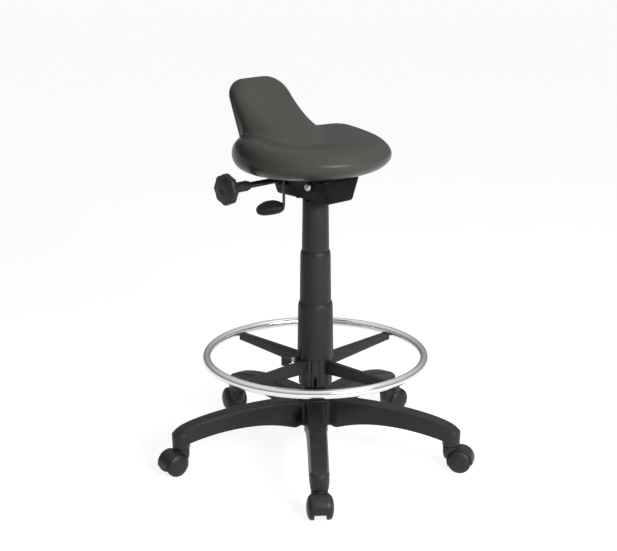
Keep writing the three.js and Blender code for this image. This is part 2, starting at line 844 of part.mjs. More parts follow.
const lowerCoverBottom = ringHubTop + seatGap;
const middleCoverBottom = lowerCoverBottom + lowerCoverLength - middleCoverOverlap;
const topCoverBottom = middleCoverBottom + middleCoverLength - topCoverOverlap;
addPiece(
  "lower_cover",
  makeCover(lowerCoverRadius, lowerCoverBottom, lowerCoverLength, {
    lipRadius: middleCoverRadius + lipClearance,
  }),
  coverPlastic,
);
addPiece(
  "middle_cover",
  makeCover(middleCoverRadius, middleCoverBottom, middleCoverLength, {
    lipRadius: topCoverRadius + lipClearance,
    bead: true,
  }),
  coverPlastic,
);
addPiece(
  "top_cover",
  makeCover(topCoverRadius, topCoverBottom, topCoverLength, {
    lipRadius: cylinderRadius + seatGap,
    bead: true,
  }),
  coverPlastic,
);

// Foot ring: a fluted hub that slides on the column, four arms with a cradle, and the chromed tube.
function makeRingHub() {
  const pitch = 360 / ringHubFlutes;
  const groove = pitch * ringHubFlute_share;
  const outline = [];
  for (let i = 0; i < ringHubFlutes; i++) {
    const [from, to] = [i * pitch + groove / 2, (i + 1) * pitch - groove / 2];
    const bottom = radians((i + 1) * pitch);
    const inner = ringHubRadius - ringHubFluteDepth;
    outline.push(...arcPoints(0, 0, ringHubRadius, from, to, 2));
    outline.push([inner * Math.cos(bottom), inner * Math.sin(bottom)]);
  }
  return prism(outline, ringHubTop - ringHubBottom).translate(0, 0, ringHubBottom);
}

const ringTorus = (radius) => new THREE.TorusGeometry(ringRadius, radius, 10, 52).translate(0, 0, ringHeight);

function makeSpiderArm() {
  const tip = ringRadius + cradleReach;
  const outline = [
    [tubeRadius + spiderWall, spiderArmTop - spiderRootDepth],
    [ringHubRadius + spiderTipDepth, spiderArmTop - spiderRootDepth + spiderWall],
    [ringRadius - ringTube, spiderArmTop - spiderTipDepth],
    [tip, spiderArmTop - spiderTipDepth],
    [tip, spiderArmTop],
    [tubeRadius + spiderWall, spiderArmTop],
  ];
  const hollow = [
    [ringHubRadius + spiderWall, spiderArmTop - spiderRootDepth - overrun],
    [ringRadius - 2 * ringTube, spiderArmTop - spiderTipDepth - overrun],
    [ringRadius - 2 * ringTube, spiderArmTop - spiderSkin],
    [ringHubRadius + spiderWall, spiderArmTop - spiderSkin],
  ];
  const upright = (points, width) => prism(points, width).translate(0, 0, -width / 2).rotateX(Math.PI / 2);
  return cut(upright(outline, spiderArmWidth), upright(hollow, spiderArmWidth - 2 * spiderWall));
}

function makeSpider() {
  const arms = [];
  for (let i = 0; i < spiderArms; i++) {
    arms.push(makeSpiderArm().rotateZ(radians(ringTurn + (360 * i) / spiderArms)));
  }
  const boss = disc(ringBossRadius, tubeRadius + spiderWall, ringBossEnd, 16)
    .rotateY(Math.PI / 2)
    .translate(0, 0, ringKnobHeight)
    .rotateZ(radians(ringKnobTurn));
  const bore = disc(tubeRadius + seatGap, ringHubBottom - overrun, ringHubTop + overrun, 24);
  const screwHole = disc(ringScrewRadius + seatGap, 0, ringBossEnd + overrun, 12)
    .rotateY(Math.PI / 2)
    .translate(0, 0, ringKnobHeight)
    .rotateZ(radians(ringKnobTurn));
  const slot = new THREE.BoxGeometry(ringHubRadius, hubSlotWidth, hubSlotHeight + overrun)
    .translate(ringHubRadius / 2 + tubeRadius / 2, 0, ringHubBottom + hubSlotHeight / 2 - overrun / 2)
    .rotateZ(radians(hubSlotTurn));
  return cut(join(makeRingHub(), boss, ...arms), bore, screwHole, slot, ringTorus(ringTube + seatGap));
}
addPiece("ring_spider", makeSpider(), nylon);
addPiece("foot_ring", ringTorus(ringTube), chrome);

const ringLock = new THREE.Group();
ringLock.position.z = ringKnobHeight;
ringLock.rotation.z = radians(ringKnobTurn);
stool.add(ringLock);
function makeRingKnob() {
  const grip = prism(
    lobedOutline(ringKnobRadius, ringKnobLobeDepth, ringKnobLobes, 5),
    ringKnobLength - ringKnobNeckLength,
  ).translate(0, 0, ringKnobNeckLength);
  const neck = disc(ringKnobNeck, 0, 2 * ringKnobNeckLength, 18);
  const hole = disc(ringScrewRadius + seatGap, -overrun, ringKnobLength / 2 + seatGap, 12);
  return cut(join(grip, neck), hole).rotateY(Math.PI / 2).translate(ringKnobStart, 0, 0);
}
addPiece("ring_lock_knob", makeRingKnob(), nylon, ringLock);
addPiece(
  "ring_lock_screw",
  disc(ringScrewRadius, tubeRadius + seatGap, ringKnobStart + ringKnobLength / 2, 12).rotateY(Math.PI / 2),
  brightSteel,
  ringLock,
);

// Tilt housing: a pressed trough on the gas lift's taper, with sloping lower walls and drafted ends.
function housingShell(offset) {
  const bottom = housingBottom + offset;
  const top = housingTop + (offset ? overrun : 0);
  const widen = (height) => {
    const share = (height - housingBottom) / (housingTop - housingBottom);
    return housingFloorHalfWidth + (housingHalfWidth - housingFloorHalfWidth) * share - offset;
  };
  const section = [
    [-widen(bottom), bottom],
    [widen(bottom), bottom],
    [widen(top), top],
    [-widen(top), top],
  ];
  const side = [
    [-housingFront + offset, top],
    [-housingFront + housingEndDraft + offset, bottom + housingRound],
    [-housingFront + housingEndDraft + housingRound + offset, bottom],
    [housingRear - housingEndDraft - housingRound - offset, bottom],
    [housingRear - housingEndDraft - offset, bottom + housingRound],
    [housingRear - offset, top],
  ];
  const [front, rear] = [-housingFront - overrun, housingRear + overrun];
  return common(alongY(section, front, rear), alongX(side, 2 * housingHalfWidth));
}

const crossHole = (radius, y, z) =>
  disc(radius, -housingHalfWidth - overrun, housingHalfWidth + overrun, 14)
    .rotateY(Math.PI / 2)
    .translate(0, y, z);

// Height of the lever's wire over the release pin, and of the hinge that it rocks on.
const wireHeight = cylinderTop + pinProud + leverWireRadius + seatGap;
const leverLow = wireHeight - leverFall;

function makeHousing() {
  const leverFrame = (geometry) => geometry.rotateZ(radians(leverTurn));
  const socketTube = disc(socketTubeRadius, housingBottom, socketTubeTop, 20);
  const earTop = wireHeight + leverPinRadius + leverWireRadius;
  const ears = [-1, 1].map((side) =>
    leverFrame(
      new THREE.BoxGeometry(leverEarWidth, leverEarThickness, earTop - housingBottom).translate(
        leverHinge,
        side * (leverEarSpread + leverEarThickness / 2),
        (earTop + housingBottom) / 2,
      ),
    ),
  );
  const holeReach = leverEarSpread + 2 * leverEarThickness;
  const earHole = leverFrame(
    disc(leverPinRadius + seatGap, -holeReach, holeReach, 12)
      .rotateX(Math.PI / 2)
      .translate(leverHinge, 0, wireHeight),
  );
  const leverNotch = leverFrame(
    new THREE.BoxGeometry(housingHalfWidth, leverSlotWidth, 2 * leverSlotDepth).translate(
      leverHinge + leverEarWidth + housingHalfWidth / 2,
      0,
      housingTop,
    ),
  );
  const taper = turned(
    [
      [0, housingBottom - overrun],
      [cylinderRadius + seatGap, housingBottom - overrun],
      [cylinderRadius + seatGap, housingBottom],
      [cylinderRadius - cylinderTaper + seatGap, cylinderTop],
      [0, cylinderTop],
    ],
    20,
  );
  const pad = (y, z) =>
    disc(housingPad, -housingHalfWidth, housingHalfWidth, 16).rotateY(Math.PI / 2).translate(0, y, z);
  const outside = join(housingShell(0), pad(-pivotForward, pivotHeight), pad(clampBack, clampHeight));
  const trough = cut(outside, housingShell(housingWall));
  return cut(
    join(trough, socketTube, ...ears),
    taper,
    earHole,
    leverNotch,
    crossHole(pivotRadius + seatGap, -pivotForward, pivotHeight),
    crossHole(clampRadius + seatGap, clampBack, clampHeight),
  );
}
addPiece("tilt_housing", makeHousing(), paintedSteel);

// Seat bracket: a plate bolted under the seat, with a pair of pivot ears and a pair of slotted ears.
const bracketTop = seatUnderside - seatGap;
const bracketUnderside = bracketTop - bracketThickness;
const clampRadiusFromPivot = Math.hypot(clampBack + pivotForward, clampHeight - pivotHeight);

function clampSlot() {
  const rest = THREE.MathUtils.radToDeg(Math.atan2(clampHeight - pivotHeight, clampBack + pivotForward));
  const width = clampRadius + seatGap;
  const [inner, outer] = [clampRadiusFromPivot - width, clampRadiusFromPivot + width];
  const [low, high] = [rest - tiltForward, rest + tiltBack];
  const end = (angle, from, to) => {
    const y = -pivotForward + clampRadiusFromPivot * Math.cos(radians(angle));
    const z = pivotHeight + clampRadiusFromPivot * Math.sin(radians(angle));
    return arcPoints(y, z, width, from, to, 4).slice(1, -1);
  };
  return alongX(
    [
      ...arcPoints(-pivotForward, pivotHeight, outer, low, high, 4),
      ...end(high, high, high + halfTurn),
      ...arcPoints(-pivotForward, pivotHeight, inner, high, low, 4),
      ...end(low, low + halfTurn, low + fullTurn),
    ],
    earOuter + overrun,
  );
}

function boltPlaces() {
  return [
    [-bracketBolt, -bracketBoltFront],
    [bracketBolt, -bracketBoltFront],
    [-bracketBolt, bracketBoltRear],
    [bracketBolt, bracketBoltRear],
  ];
}

function makeBracket() {
  const plate = prism(
    roundedBox(-bracketHalfWidth, bracketHalfWidth, -bracketFront, bracketRear, bracketCorner),
    bracketThickness,
  ).translate(0, 0, bracketUnderside);
  const pivotEar = [
    [-pivotEarFront, bracketTop - bracketThickness / 2],
    [-pivotForward - pivotHeadRadius, pivotEarBottom],
    [-pivotForward + pivotHeadRadius, pivotEarBottom],
    [-pivotEarRear, bracketTop - bracketThickness / 2],
  ];
  const clampEar = [
    [clampEarFront, bracketTop - bracketThickness / 2],
    [clampEarFront, clampEarBottom + bracketThickness],
    [clampEarFront + bracketThickness, clampEarBottom],
    [clampEarRear - clampEarChamfer, clampEarBottom],
    [clampEarRear, clampEarBottom + clampEarChamfer],
    [clampEarRear, bracketTop - bracketThickness / 2],
  ];
  const gapBetweenEars = new THREE.BoxGeometry(
    2 * (earOuter - bracketThickness),
    bracketFront + bracketRear + 2 * overrun,
    bracketUnderside - clampEarBottom + overrun,
  ).translate(0, (bracketRear - bracketFront) / 2, (bracketUnderside + clampEarBottom - overrun) / 2);
  const ears = cut(
    join(alongX(pivotEar, earOuter), alongX(clampEar, earOuter)),
    gapBetweenEars,
    crossHole(pivotRadius + seatGap, -pivotForward, pivotHeight),
    clampSlot(),
  );
  const holes = boltPlaces().map(([x, y]) =>
    disc(boltRadius + seatGap, bracketUnderside - overrun, bracketTop + overrun, 12).translate(x, y, 0),
  );
  return cut(join(plate, ears), ...holes);
}
addPiece("seat_bracket", makeBracket(), paintedSteel);

const hexagon = (radius) => arcPoints(0, 0, radius, 0, fullTurn - fullTurn / nutSides, nutSides - 1);

// Pivot bolt from the right side, with its nut on the left.
function makePivotBolt() {
  const reach = housingHalfWidth + seatGap;
  const shank = disc(pivotRadius, -reach - pivotHeadHeight / 2, reach + pivotNutHeight + pivotEnd, 14);
  const head = turned(
    [
      [0, -reach - pivotHeadHeight],
      [pivotHeadRadius * pivotHeadTop_share, -reach - pivotHeadHeight],
      [pivotHeadRadius, -reach - pivotHeadHeight / 2],
      [pivotHeadRadius, -reach],
      [0, -reach],
    ],
    20,
  );
  return join(shank, head).rotateY(Math.PI / 2).translate(0, -pivotForward, pivotHeight);
}
addPiece("pivot_bolt", makePivotBolt(), brightSteel);

// A hexagon nut along X, its face against the housing's left wall.
function makeNut(radius, height, boreRadius) {
  const bore = disc(boreRadius + seatGap, -overrun, height + overrun, 14);
  return cut(prism(hexagon(radius), height - seatGap), bore)
    .rotateY(Math.PI / 2)
    .translate(housingHalfWidth + seatGap, 0, 0);
}
addPiece(
  "pivot_nut",
  makeNut(pivotNutRadius, pivotNutHeight, pivotRadius).translate(0, -pivotForward, pivotHeight),
  brightSteel,
);

// Tilt clamp: a rod through both housing walls and the slotted ears, drawn up by the lobed knob.
const clampLeftEnd = housingHalfWidth + seatGap + clampNutHeight + pivotEnd;
addPiece(
  "clamp_rod",
  disc(clampRadius, -clampKnobReach - knobSocketDepth, clampLeftEnd, 14)
    .rotateY(Math.PI / 2)
    .translate(0, clampBack, clampHeight),
  brightSteel,
);
addPiece(
  "clamp_nut",
  makeNut(clampNutRadius, clampNutHeight, clampRadius).translate(0, clampBack, clampHeight),
  brightSteel,
);

function makeTiltKnob() {
  const inner = turned(
    [
      [0, -collarLength],
      [collarNeck, -collarLength],
      [collarNeck, -collarLength + collarStepLength],
      [collarRadius, -collarLength + collarStepLength + collarStep],
      [collarRadius, -collarLength + collarFlange],
      [collarNeck, -collarLength + collarFlange + collarStep],
      [collarRoot, knobEdge],
      [0, knobEdge],
    ],
    18,
  );
  const gripOutline = (inset) => lobedOutline(knobRadius - inset, knobLobeDepth, knobLobes, 5);
  const levels = [[knobEdge, 0], [0, knobEdge], [0, knobLength - knobEdge], [knobEdge, knobLength]];
  const grip = lofted(levels.map(([inset, z]) => gripOutline(inset).map(([x, y]) => [x, y, z])));
  const dish = turned(
    [
      [0, knobLength - knobFaceDish],
      [knobFaceRadius - knobFaceDish, knobLength - knobFaceDish],
      [knobFaceRadius, knobLength + overrun],
      [0, knobLength + overrun],
    ],
    20,
  );
  const holeEnd = knobSocketDepth - collarLength + seatGap;
  const hole = disc(clampRadius + seatGap, -collarLength - overrun, holeEnd, 14);
  return cut(join(inner, grip), hole, dish).translate(0, 0, collarLength);
}
addPiece(
  "tilt_knob",
  makeTiltKnob().rotateY(-Math.PI / 2).translate(-clampKnobReach, clampBack, clampHeight),
  nylon,
);

// Height lever: a bent wire that rocks on its cross pin and presses the gas lift's release pin.
const lever = new THREE.Group();
lever.rotation.z = radians(leverTurn);
stool.add(lever);

// The bent wire, from over the release pin out to its end inside the paddle.
function leverBar(radius, extra) {
  const droop = Math.tan(radians(paddleDroop));
  const out = leverDrop + leverBend;
  const points = [
    [-leverWireRadius, 0, wireHeight],
    [leverDrop / 2, 0, wireHeight],
    [leverDrop - leverBend, 0, wireHeight],
    [leverDrop, 0, wireHeight - leverBend],
    [leverDrop, 0, (wireHeight + leverLow) / 2],
    [leverDrop, 0, leverLow + leverBend],
    [out, 0, leverLow],
    [out + paddleGrip + extra, 0, leverLow - (paddleGrip + extra) * droop],
  ];
  return bar(points, radius, 8, 18);
}

function makeLeverWire() {
  const pinReach = leverEarSpread + leverEarThickness;
  const pin = disc(leverPinRadius, -pinReach, pinReach, 12).rotateX(Math.PI / 2);
  return join(leverBar(leverWireRadius, 0), pin.translate(leverHinge, 0, wireHeight));
}
addPiece("lever_wire", makeLeverWire(), brightSteel, lever);

function makePaddle() {
  const rings = paddleLevel_shares.map((level_share, ring) => {
    const inset = ((1 - paddleReach_shares[ring]) * paddleThickness) / 2;
    const [halfLength, halfWidth] = [paddleLength / 2 - inset, paddleWidth / 2 - inset];
    const outline = squaredRound(halfLength, halfWidth, paddleCorner_share, 20);
    return outline.map(([x, y]) => [x, y, (level_share * paddleThickness) / 2]);
  });
  const blade = lofted(rings).translate(paddleStart + paddleLength / 2, -paddleOffset, 0);
  const holder = disc(paddleSocketRadius, 0, paddleGrip + paddleSocketRadius, 14).rotateY(Math.PI / 2);
  const whole = join(blade.rotateX(radians(-paddleTilt)), holder)
    .rotateY(radians(paddleDroop))
    .translate(leverDrop + leverBend, 0, leverLow);
  return cut(whole, leverBar(leverWireRadius + seatGap, seatGap));
}
addPiece("lever_paddle", makePaddle(), nylon, lever);

// Seat: one moulding with its backrest, over a plywood board that takes the bracket's four bolts.
function makeSeatPad() {
  const rimOut = (steps) =>
    Array.from({ length: steps }, (_, i) => {
      const angle = (Math.PI / 2) * ((i + 1) / steps);
      return [
        seatPanRadius + (seatRadius - seatPanRadius) * Math.sin(angle) ** seatRim_share,
        seatUnderside + (seatRimHeight - seatUnderside) * (1 - Math.cos(angle)),
      ];
    });
  const rimIn = (steps) =>
    Array.from({ length: steps }, (_, i) => {
      const angle = (Math.PI / 2) * ((i + 1) / steps);
      return [
        seatRadius - seatCrestInset * (1 - Math.cos(angle)),
        seatRimHeight + (seatCrest - seatRimHeight) * Math.sin(angle),
      ];
    });
  const crestRadius = seatRadius - seatCrestInset;
  const dished = (steps) =>
    Array.from({ length: steps }, (_, i) => {
      const share = 1 - (i + 1) / steps;
      return [crestRadius * share, seatCrest - seatDish * (1 - share ** 2)];
    });
  return turned(
    [[0, seatUnderside], [seatPanRadius, seatUnderside], ...rimOut(5), ...rimIn(5), ...dished(4)],
    44,
  ).translate(0, seatBack, 0);
}

// The backrest as level rings: wide and deep where it runs into the seat, upright above.
function makeBackrest() {
  const rings = backLevel_shares.map((rise) => {
    const height = backRootHeight + (backTop - backRootHeight) * rise;
    const flare = Math.max(0, 1 - (height - seatCrest) / backFlareHeight) ** backFlarePower_share;
    const top = Math.max(0, (height - backTop + backTopRound) / backTopRound);
    const drawIn = 1 - Math.sqrt(1 - backTopEnd_share * top ** 2);
    const halfWidth = backHalfWidth - backTaper * rise - backTopRoundWidth * drawIn;
    const halfDepth = (backThickness / 2) * (1 - backTopThin_share * drawIn);
    const middle = backRear - backThickness / 2 - backLean_share * (backTop - height);
    return squaredRound(1, 1, backCorner_share, 28).map(([x, y]) => {
      const forward = flare * Math.max(0, -y) ** (1 / backCorner_share);
      const [width, depth] = [halfWidth + backFlareWidth * forward, halfDepth + backFlareDepth * forward];
      return [x * width, middle + y * depth, height];
    });
  });
  return lofted(rings);
}

function makeSeat() {
  const boardRoom = disc(
    seatBoardRadius + seatGap,
    seatUnderside - overrun,
    seatUnderside + seatBoardThickness + seatGap,
    28,
  ).translate(0, seatBack, 0);
  return cut(join(makeSeatPad(), makeBackrest()), boardRoom);
}
addPiece("seat_moulding", makeSeat(), moulding);

const boltHoleTop = bracketUnderside + boltLength + seatGap;
addPiece(
  "seat_board",
  cut(
    disc(seatBoardRadius, seatUnderside, seatUnderside + seatBoardThickness, 28).translate(0, seatBack, 0),
    ...boltPlaces().map(([x, y]) =>
      disc(boltRadius + seatGap, seatUnderside - overrun, boltHoleTop, 12).translate(x, y, 0),
    ),
  ),
  plywood,
);
boltPlaces().forEach(([x, y], i) => {
  const headSeat = bracketUnderside - seatGap;
  const head = prism(hexagon(boltHeadRadius), boltHeadHeight).translate(0, 0, headSeat - boltHeadHeight);
  const shank = disc(boltRadius, headSeat - boltHeadHeight / 2, bracketUnderside + boltLength, 12);
  addPiece(`seat_bolt_${i + 1}`, join(head, shank).translate(x, y, 0), brightSteel);
});

// The frame's origin is on the floor under the middle of the whole stool's footprint.
const extent = new THREE.Box3().setFromObject(stool, true);
const middle = extent.getCenter(new THREE.Vector3());
stool.position.set(-middle.x, -middle.y, -extent.min.z);

export default stool;
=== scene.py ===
import math

import bmesh
import bpy
from mathutils import Matrix, Vector


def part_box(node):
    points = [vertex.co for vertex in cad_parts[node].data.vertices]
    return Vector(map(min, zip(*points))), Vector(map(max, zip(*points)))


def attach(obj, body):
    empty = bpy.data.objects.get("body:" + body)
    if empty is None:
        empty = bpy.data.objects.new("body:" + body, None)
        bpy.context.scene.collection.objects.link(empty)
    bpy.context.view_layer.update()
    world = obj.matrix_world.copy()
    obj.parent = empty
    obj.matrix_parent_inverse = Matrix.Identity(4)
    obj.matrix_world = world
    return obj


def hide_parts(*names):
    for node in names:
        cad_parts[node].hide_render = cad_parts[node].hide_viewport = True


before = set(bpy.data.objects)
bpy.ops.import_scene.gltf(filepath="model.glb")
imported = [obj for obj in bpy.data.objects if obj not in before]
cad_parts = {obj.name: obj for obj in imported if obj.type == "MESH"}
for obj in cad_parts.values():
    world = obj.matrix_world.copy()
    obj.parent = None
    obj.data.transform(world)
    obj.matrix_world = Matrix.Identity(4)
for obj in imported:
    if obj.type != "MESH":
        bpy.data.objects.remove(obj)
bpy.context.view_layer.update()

# Star base: one moulding in black glass-filled nylon, satin with a fine grain, with five arched arms that
# run out of the hub to the castors' sockets. It is open underneath, with thin walls and cross ribs, and
# the gas lift's tube is pressed into the taper in its hub.
mm = 0.001
tube_low, tube_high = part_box("column_tube")
column = Vector(((tube_low.x + tube_high.x) / 2, (tube_low.y + tube_high.y) / 2, 0))
arm_angles = [math.radians(12.32 + 72 * arm) for arm in range(5)]
stem_circle = 300
hub_radius = 41
hub_low, hub_high = 79, 131
arm_crest = 133
arch_radius, arch_crest = 150, 90
arm_wall = 3.2
rib_radii = (122, 202)


class Value:
    """A socket in a material. Sums and products of it add their Math nodes."""

    def __init__(self, tree, socket=None):
        self.tree = tree
        self.socket = socket

    def node(self, kind, settings=None, inputs=None, output=0):
        made = self.tree.nodes.new(kind)
        for name, value in (settings or {}).items():
            setattr(made, name, value)
        for name, value in (inputs or {}).items():
            if isinstance(value, Value):
                self.tree.links.new(value.socket, made.inputs[name])
            else:
                made.inputs[name].default_value = value
        return Value(self.tree, made.outputs[output] if made.outputs else None)

    def math(self, operation, *values):
        return self.node("ShaderNodeMath", {"operation": operation}, dict(enumerate(values)))

    def __add__(self, other):
        return self.math("ADD", self, other)

    def __sub__(self, other):
        return self.math("SUBTRACT", self, other)

    def __rsub__(self, other):
        return self.math("SUBTRACT", other, self)

    def __mul__(self, other):
        return self.math("MULTIPLY", self, other)

    def __pow__(self, other):
        return self.math("POWER", self, other)

    __radd__ = __add__
    __rmul__ = __mul__

    def stretched(self, x, y, z):
        return self.node("ShaderNodeMapping", inputs={"Vector": self, "Scale": (x, y, z)})

    def clouds(self, scale, detail=3, roughness=0.5):
        inputs = {"Vector": self, "Scale": scale, "Detail": detail, "Roughness": roughness}
        return self.node("ShaderNodeTexNoise", inputs=inputs)

    def within(self, low, high):
        return self.node("ShaderNodeMapRange", inputs={0: self, 1: low, 2: high})

    def tint(self, first, second):
        colours = {0: self, 6: (*first, 1), 7: (*second, 1)}
        return self.node("ShaderNodeMix", {"data_type": "RGBA"}, colours, output=2)

    def relief(self, depth, strength):
        return self.node("ShaderNodeBump", inputs={"Strength": strength, "Distance": depth, "Height": self})


def finish(name, look):
    """A material whose shader takes what look makes of the piece's own coordinates."""
    made = bpy.data.materials.new(name)
    made.use_nodes = True
    made.node_tree.nodes.clear()
    start = Value(made.node_tree)
    place = start.node("ShaderNodeTexCoord", output="Object")
    shader = start.node("ShaderNodeBsdfPrincipled", inputs=look(place))
    start.node("ShaderNodeOutputMaterial", inputs={"Surface": shader})
    return made


def facing_up(place):
    """How far the surface faces up, from 0 to 1: where dust settles and a hand or foot rubs."""
    normal = place.node("ShaderNodeTexCoord", output="Normal")
    return normal.node("ShaderNodeSeparateXYZ", inputs={0: normal}, output=2).within(0.3, 1.0)


def satin_nylon(place):
    flow = place.clouds(18, 4)
    grain = place.clouds(1900, 2, 0.7)
    dust = facing_up(place) ** 2 * place.clouds(55, 5).within(0.35, 0.8) * 0.12
    colour = (0.12 * flow + dust).tint((0.016, 0.016, 0.0165), (0.15, 0.148, 0.142))
    rough = 0.33 + 0.12 * flow + 0.08 * grain + dust
    return {
        "Base Color": colour,
        "Roughness": rough,
        "Normal": grain.relief(0.00006, 0.5),
        "Specular IOR Level": 0.3,
    }


nylon = finish("black_nylon", satin_nylon)


def closed(shape):
    """Doubles merged and every face turned outwards."""
    bmesh.ops.remove_doubles(shape, verts=shape.verts, dist=0.00001)
    bmesh.ops.recalc_face_normals(shape, faces=shape.faces)
    return shape


def turned(profile, steps=72):
    """Spins a closed profile of (radius, height, rounding) points in mm about Z."""
    shape = bmesh.new()
    points = [shape.verts.new((radius * mm, 0, height * mm)) for radius, height, _ in profile]
    for first, second in zip(points, points[1:] + points[:1]):
        shape.edges.new((first, second))
    for rounding in sorted({corner[2] for corner in profile} - {0}):
        corners = [point for point, corner in zip(points, profile) if corner[2] == rounding]
        bmesh.ops.bevel(shape, geom=corners, affect="VERTICES", offset=rounding * mm, segments=3,
                        profile=0.5, material=-1)
    bmesh.ops.spin(shape, geom=shape.verts[:] + shape.edges[:], axis=(0, 0, 1), angle=2 * math.pi,
                   steps=steps, use_merge=True)
    closed(shape)
    on_axis = [edge for edge in shape.edges if all(v.co.xy.length < 0.00001 for v in edge.verts)]
    bmesh.ops.delete(shape, geom=on_axis, context="EDGES")
    return shape


def moved(shape, *steps):
    """Applies turns and moves in order, so the piece's place is in its mesh."""
    for step in steps:
        bmesh.ops.transform(shape, matrix=step, verts=shape.verts)
    return shape


def gathered(*shapes):
    """Several shapes as one, not joined where they meet."""
    whole = bmesh.new()
    for shape in shapes:
        part = bpy.data.meshes.new("part")
        shape.to_mesh(part)
        shape.free()
        whole.from_mesh(part)
        bpy.data.meshes.remove(part)
    return whole


def blank(shape):
    """The shape as an object for a modifier to work on."""
    mesh = bpy.data.meshes.new("blank")
    shape.to_mesh(mesh)
    shape.free()
    held = bpy.data.objects.new("blank", mesh)
    bpy.context.scene.collection.objects.link(held)
    return held


def worked(shape, kind, **settings):
    """The shape after one modifier, such as a subdivision."""
    held = blank(shape)
    step = held.modifiers.new(kind, kind)
    for name, value in settings.items():
        setattr(step, name, value)
    result = bmesh.new()
    result.from_object(held, bpy.context.evaluated_depsgraph_get())
    bpy.data.meshes.remove(held.data)
    return result


def piece(name, shape, body, slot, material, *stands_for, sharp=35):
    """The finished piece, modelled round the column's axis: smooth but for its sharp edges."""
    moved(shape, Matrix.Translation(column))
    for face in shape.faces:
        face.smooth = True
    for edge in shape.edges:
        edge.smooth = edge.is_manifold and edge.calc_face_angle(0) < math.radians(sharp)
    mesh = bpy.data.meshes.new(name)
    shape.to_mesh(mesh)
    shape.free()
    mesh.materials.append(material)
    made = bpy.data.objects.new(name, mesh)
    bpy.context.scene.collection.objects.link(made)
    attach(made, body)
    if stands_for:
        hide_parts(*stands_for)
    return made


def arm_top(radius):
    """The arm's upper side, which falls towards the tip."""
    return arm_crest - 38 * max(0, (radius - hub_radius) / 274) ** 2.6


def arm_underside(radius):
    """The arch under an arm, which falls faster towards the hub than towards the socket."""
    if radius < arch_radius:
        return arch_crest - 16 * ((arch_radius - radius) / 98) ** 2
    return arch_crest - 25 * ((radius - arch_radius) / 150) ** 2


# Stations along an arm: radius, half width at the bottom and at the top, and how far the top is drawn down
arm_stations = [
    (52, 27, 21, 0), (66, 24, 19.6, 0), (95, 22.6, 18.6, 0), (130, 22, 18.1, 0), (170, 21.6, 17.7, 0),
    (210, 21.2, 17.4, 0), (245, 21, 17.2, 0), (272, 20.8, 17, 0), (294, 20.4, 16.6, 1),
    (309, 18.6, 14.4, 3.5), (318.5, 12.5, 9, 10),
]


def arms_and_hub():
    """Five of a ten-sided hub's faces drawn out into arms, opened below, subdivided and given a wall."""
    shape = bmesh.new()
    bmesh.ops.create_cone(shape, cap_ends=True, segments=10, radius1=hub_radius * mm, radius2=hub_radius * mm,
                          depth=(hub_high - hub_low) * mm)
    bmesh.ops.translate(shape, vec=(0, 0, (hub_low + hub_high) / 2 * mm), verts=shape.verts)
    crease = shape.edges.layers.float.new("crease_edge")
    for vert in shape.verts:
        turn = math.atan2(vert.co.y, vert.co.x)
        arm = min(arm_angles, key=lambda angle: abs(math.remainder(turn - angle, 2 * math.pi)))
        side = math.copysign(math.radians(28), math.remainder(turn - arm, 2 * math.pi))
        vert.co.xy = hub_radius * mm * Vector((math.cos(arm + side), math.sin(arm + side)))
    directions = [Vector((math.cos(angle), math.sin(angle), 0)) for angle in arm_angles]
    sides = [face for face in shape.faces if len(face.verts) == 4]
    roots = [max(sides, key=lambda face: face.calc_center_median().dot(along)) for along in directions]
    for along, end in zip(directions, roots):
        across = Vector((-along.y, along.x, 0))
        for radius, low, high, drawn in arm_stations:
            made = bmesh.ops.extrude_face_region(shape, geom=[end])["geom"]
            bmesh.ops.delete(shape, geom=[end], context="FACES_ONLY")
            end = next(item for item in made if isinstance(item, bmesh.types.BMFace))
            middle = end.calc_center_median()
            for vert in end.verts:
                away = vert.co - middle
                side = math.copysign(1, away.dot(across))
                upper = away.z > 0
                vert.co = radius * mm * along + side * (high if upper else low) * mm * across
                vert.co.z = (arm_top(radius) - drawn if upper else arm_underside(radius)) * mm
    shape.normal_update()
    cap = [face for face in shape.faces if face.normal.z > 0.9 and len(face.verts) == 10]
    bmesh.ops.inset_region(shape, faces=cap, thickness=13 * mm)
    below = [face for face in shape.faces if face.normal.z < -0.6]
    bmesh.ops.delete(shape, geom=cap + below, context="FACES")
    for edge in shape.edges:
        level = abs((edge.verts[0].co - edge.verts[1].co).normalized().z) < 0.7
        if level and edge.calc_face_angle(0) > math.radians(38):
            edge[crease] = 0.5
    skin = worked(shape, "SUBSURF", levels=3, render_levels=3)
    return worked(skin, "SOLIDIFY", thickness=arm_wall * mm, offset=-1, use_even_offset=True)


def arm_ribs():
    """Two thin cross ribs under each arm's skin."""
    thickness, width = 3, 34
    for angle in arm_angles:
        for radius in rib_radii:
            floor, roof = arm_underside(radius) + 4, arm_top(radius) - 2
            rib = bmesh.new()
            bmesh.ops.create_cube(rib, size=1)
            yield moved(rib, Matrix.Diagonal((thickness * mm, width * mm, (roof - floor) * mm, 1)),
                        Matrix.Translation((radius * mm, 0, (roof + floor) / 2 * mm)), Matrix.Rotation(angle, 4, "Z"))


socket = [(5.8, 56, 0), (18.6, 56, 0.8), (19.4, 88, 3), (12, 91, 0), (0, 91, 0), (0, 73, 0), (5.8, 73, 0)]
hub_core = [
    (25.1, 75, 0), (hub_radius, 75, 1), (hub_radius, 83, 1), (33, 86, 0), (33, 126, 0), (39.6, 128, 0),
    (39.6, 134.4, 1.6), (36.5, 135, 0.6), (25.3, 135, 0.4),
]
sockets = [
    moved(turned(socket, 40), Matrix.Translation((stem_circle * mm, 0, 0)), Matrix.Rotation(angle, 4, "Z"))
    for angle in arm_angles
]
star = gathered(arms_and_hub(), turned(hub_core), *sockets, *arm_ribs())
piece("base_star", star, "base", "nylon", nylon, "star_base")


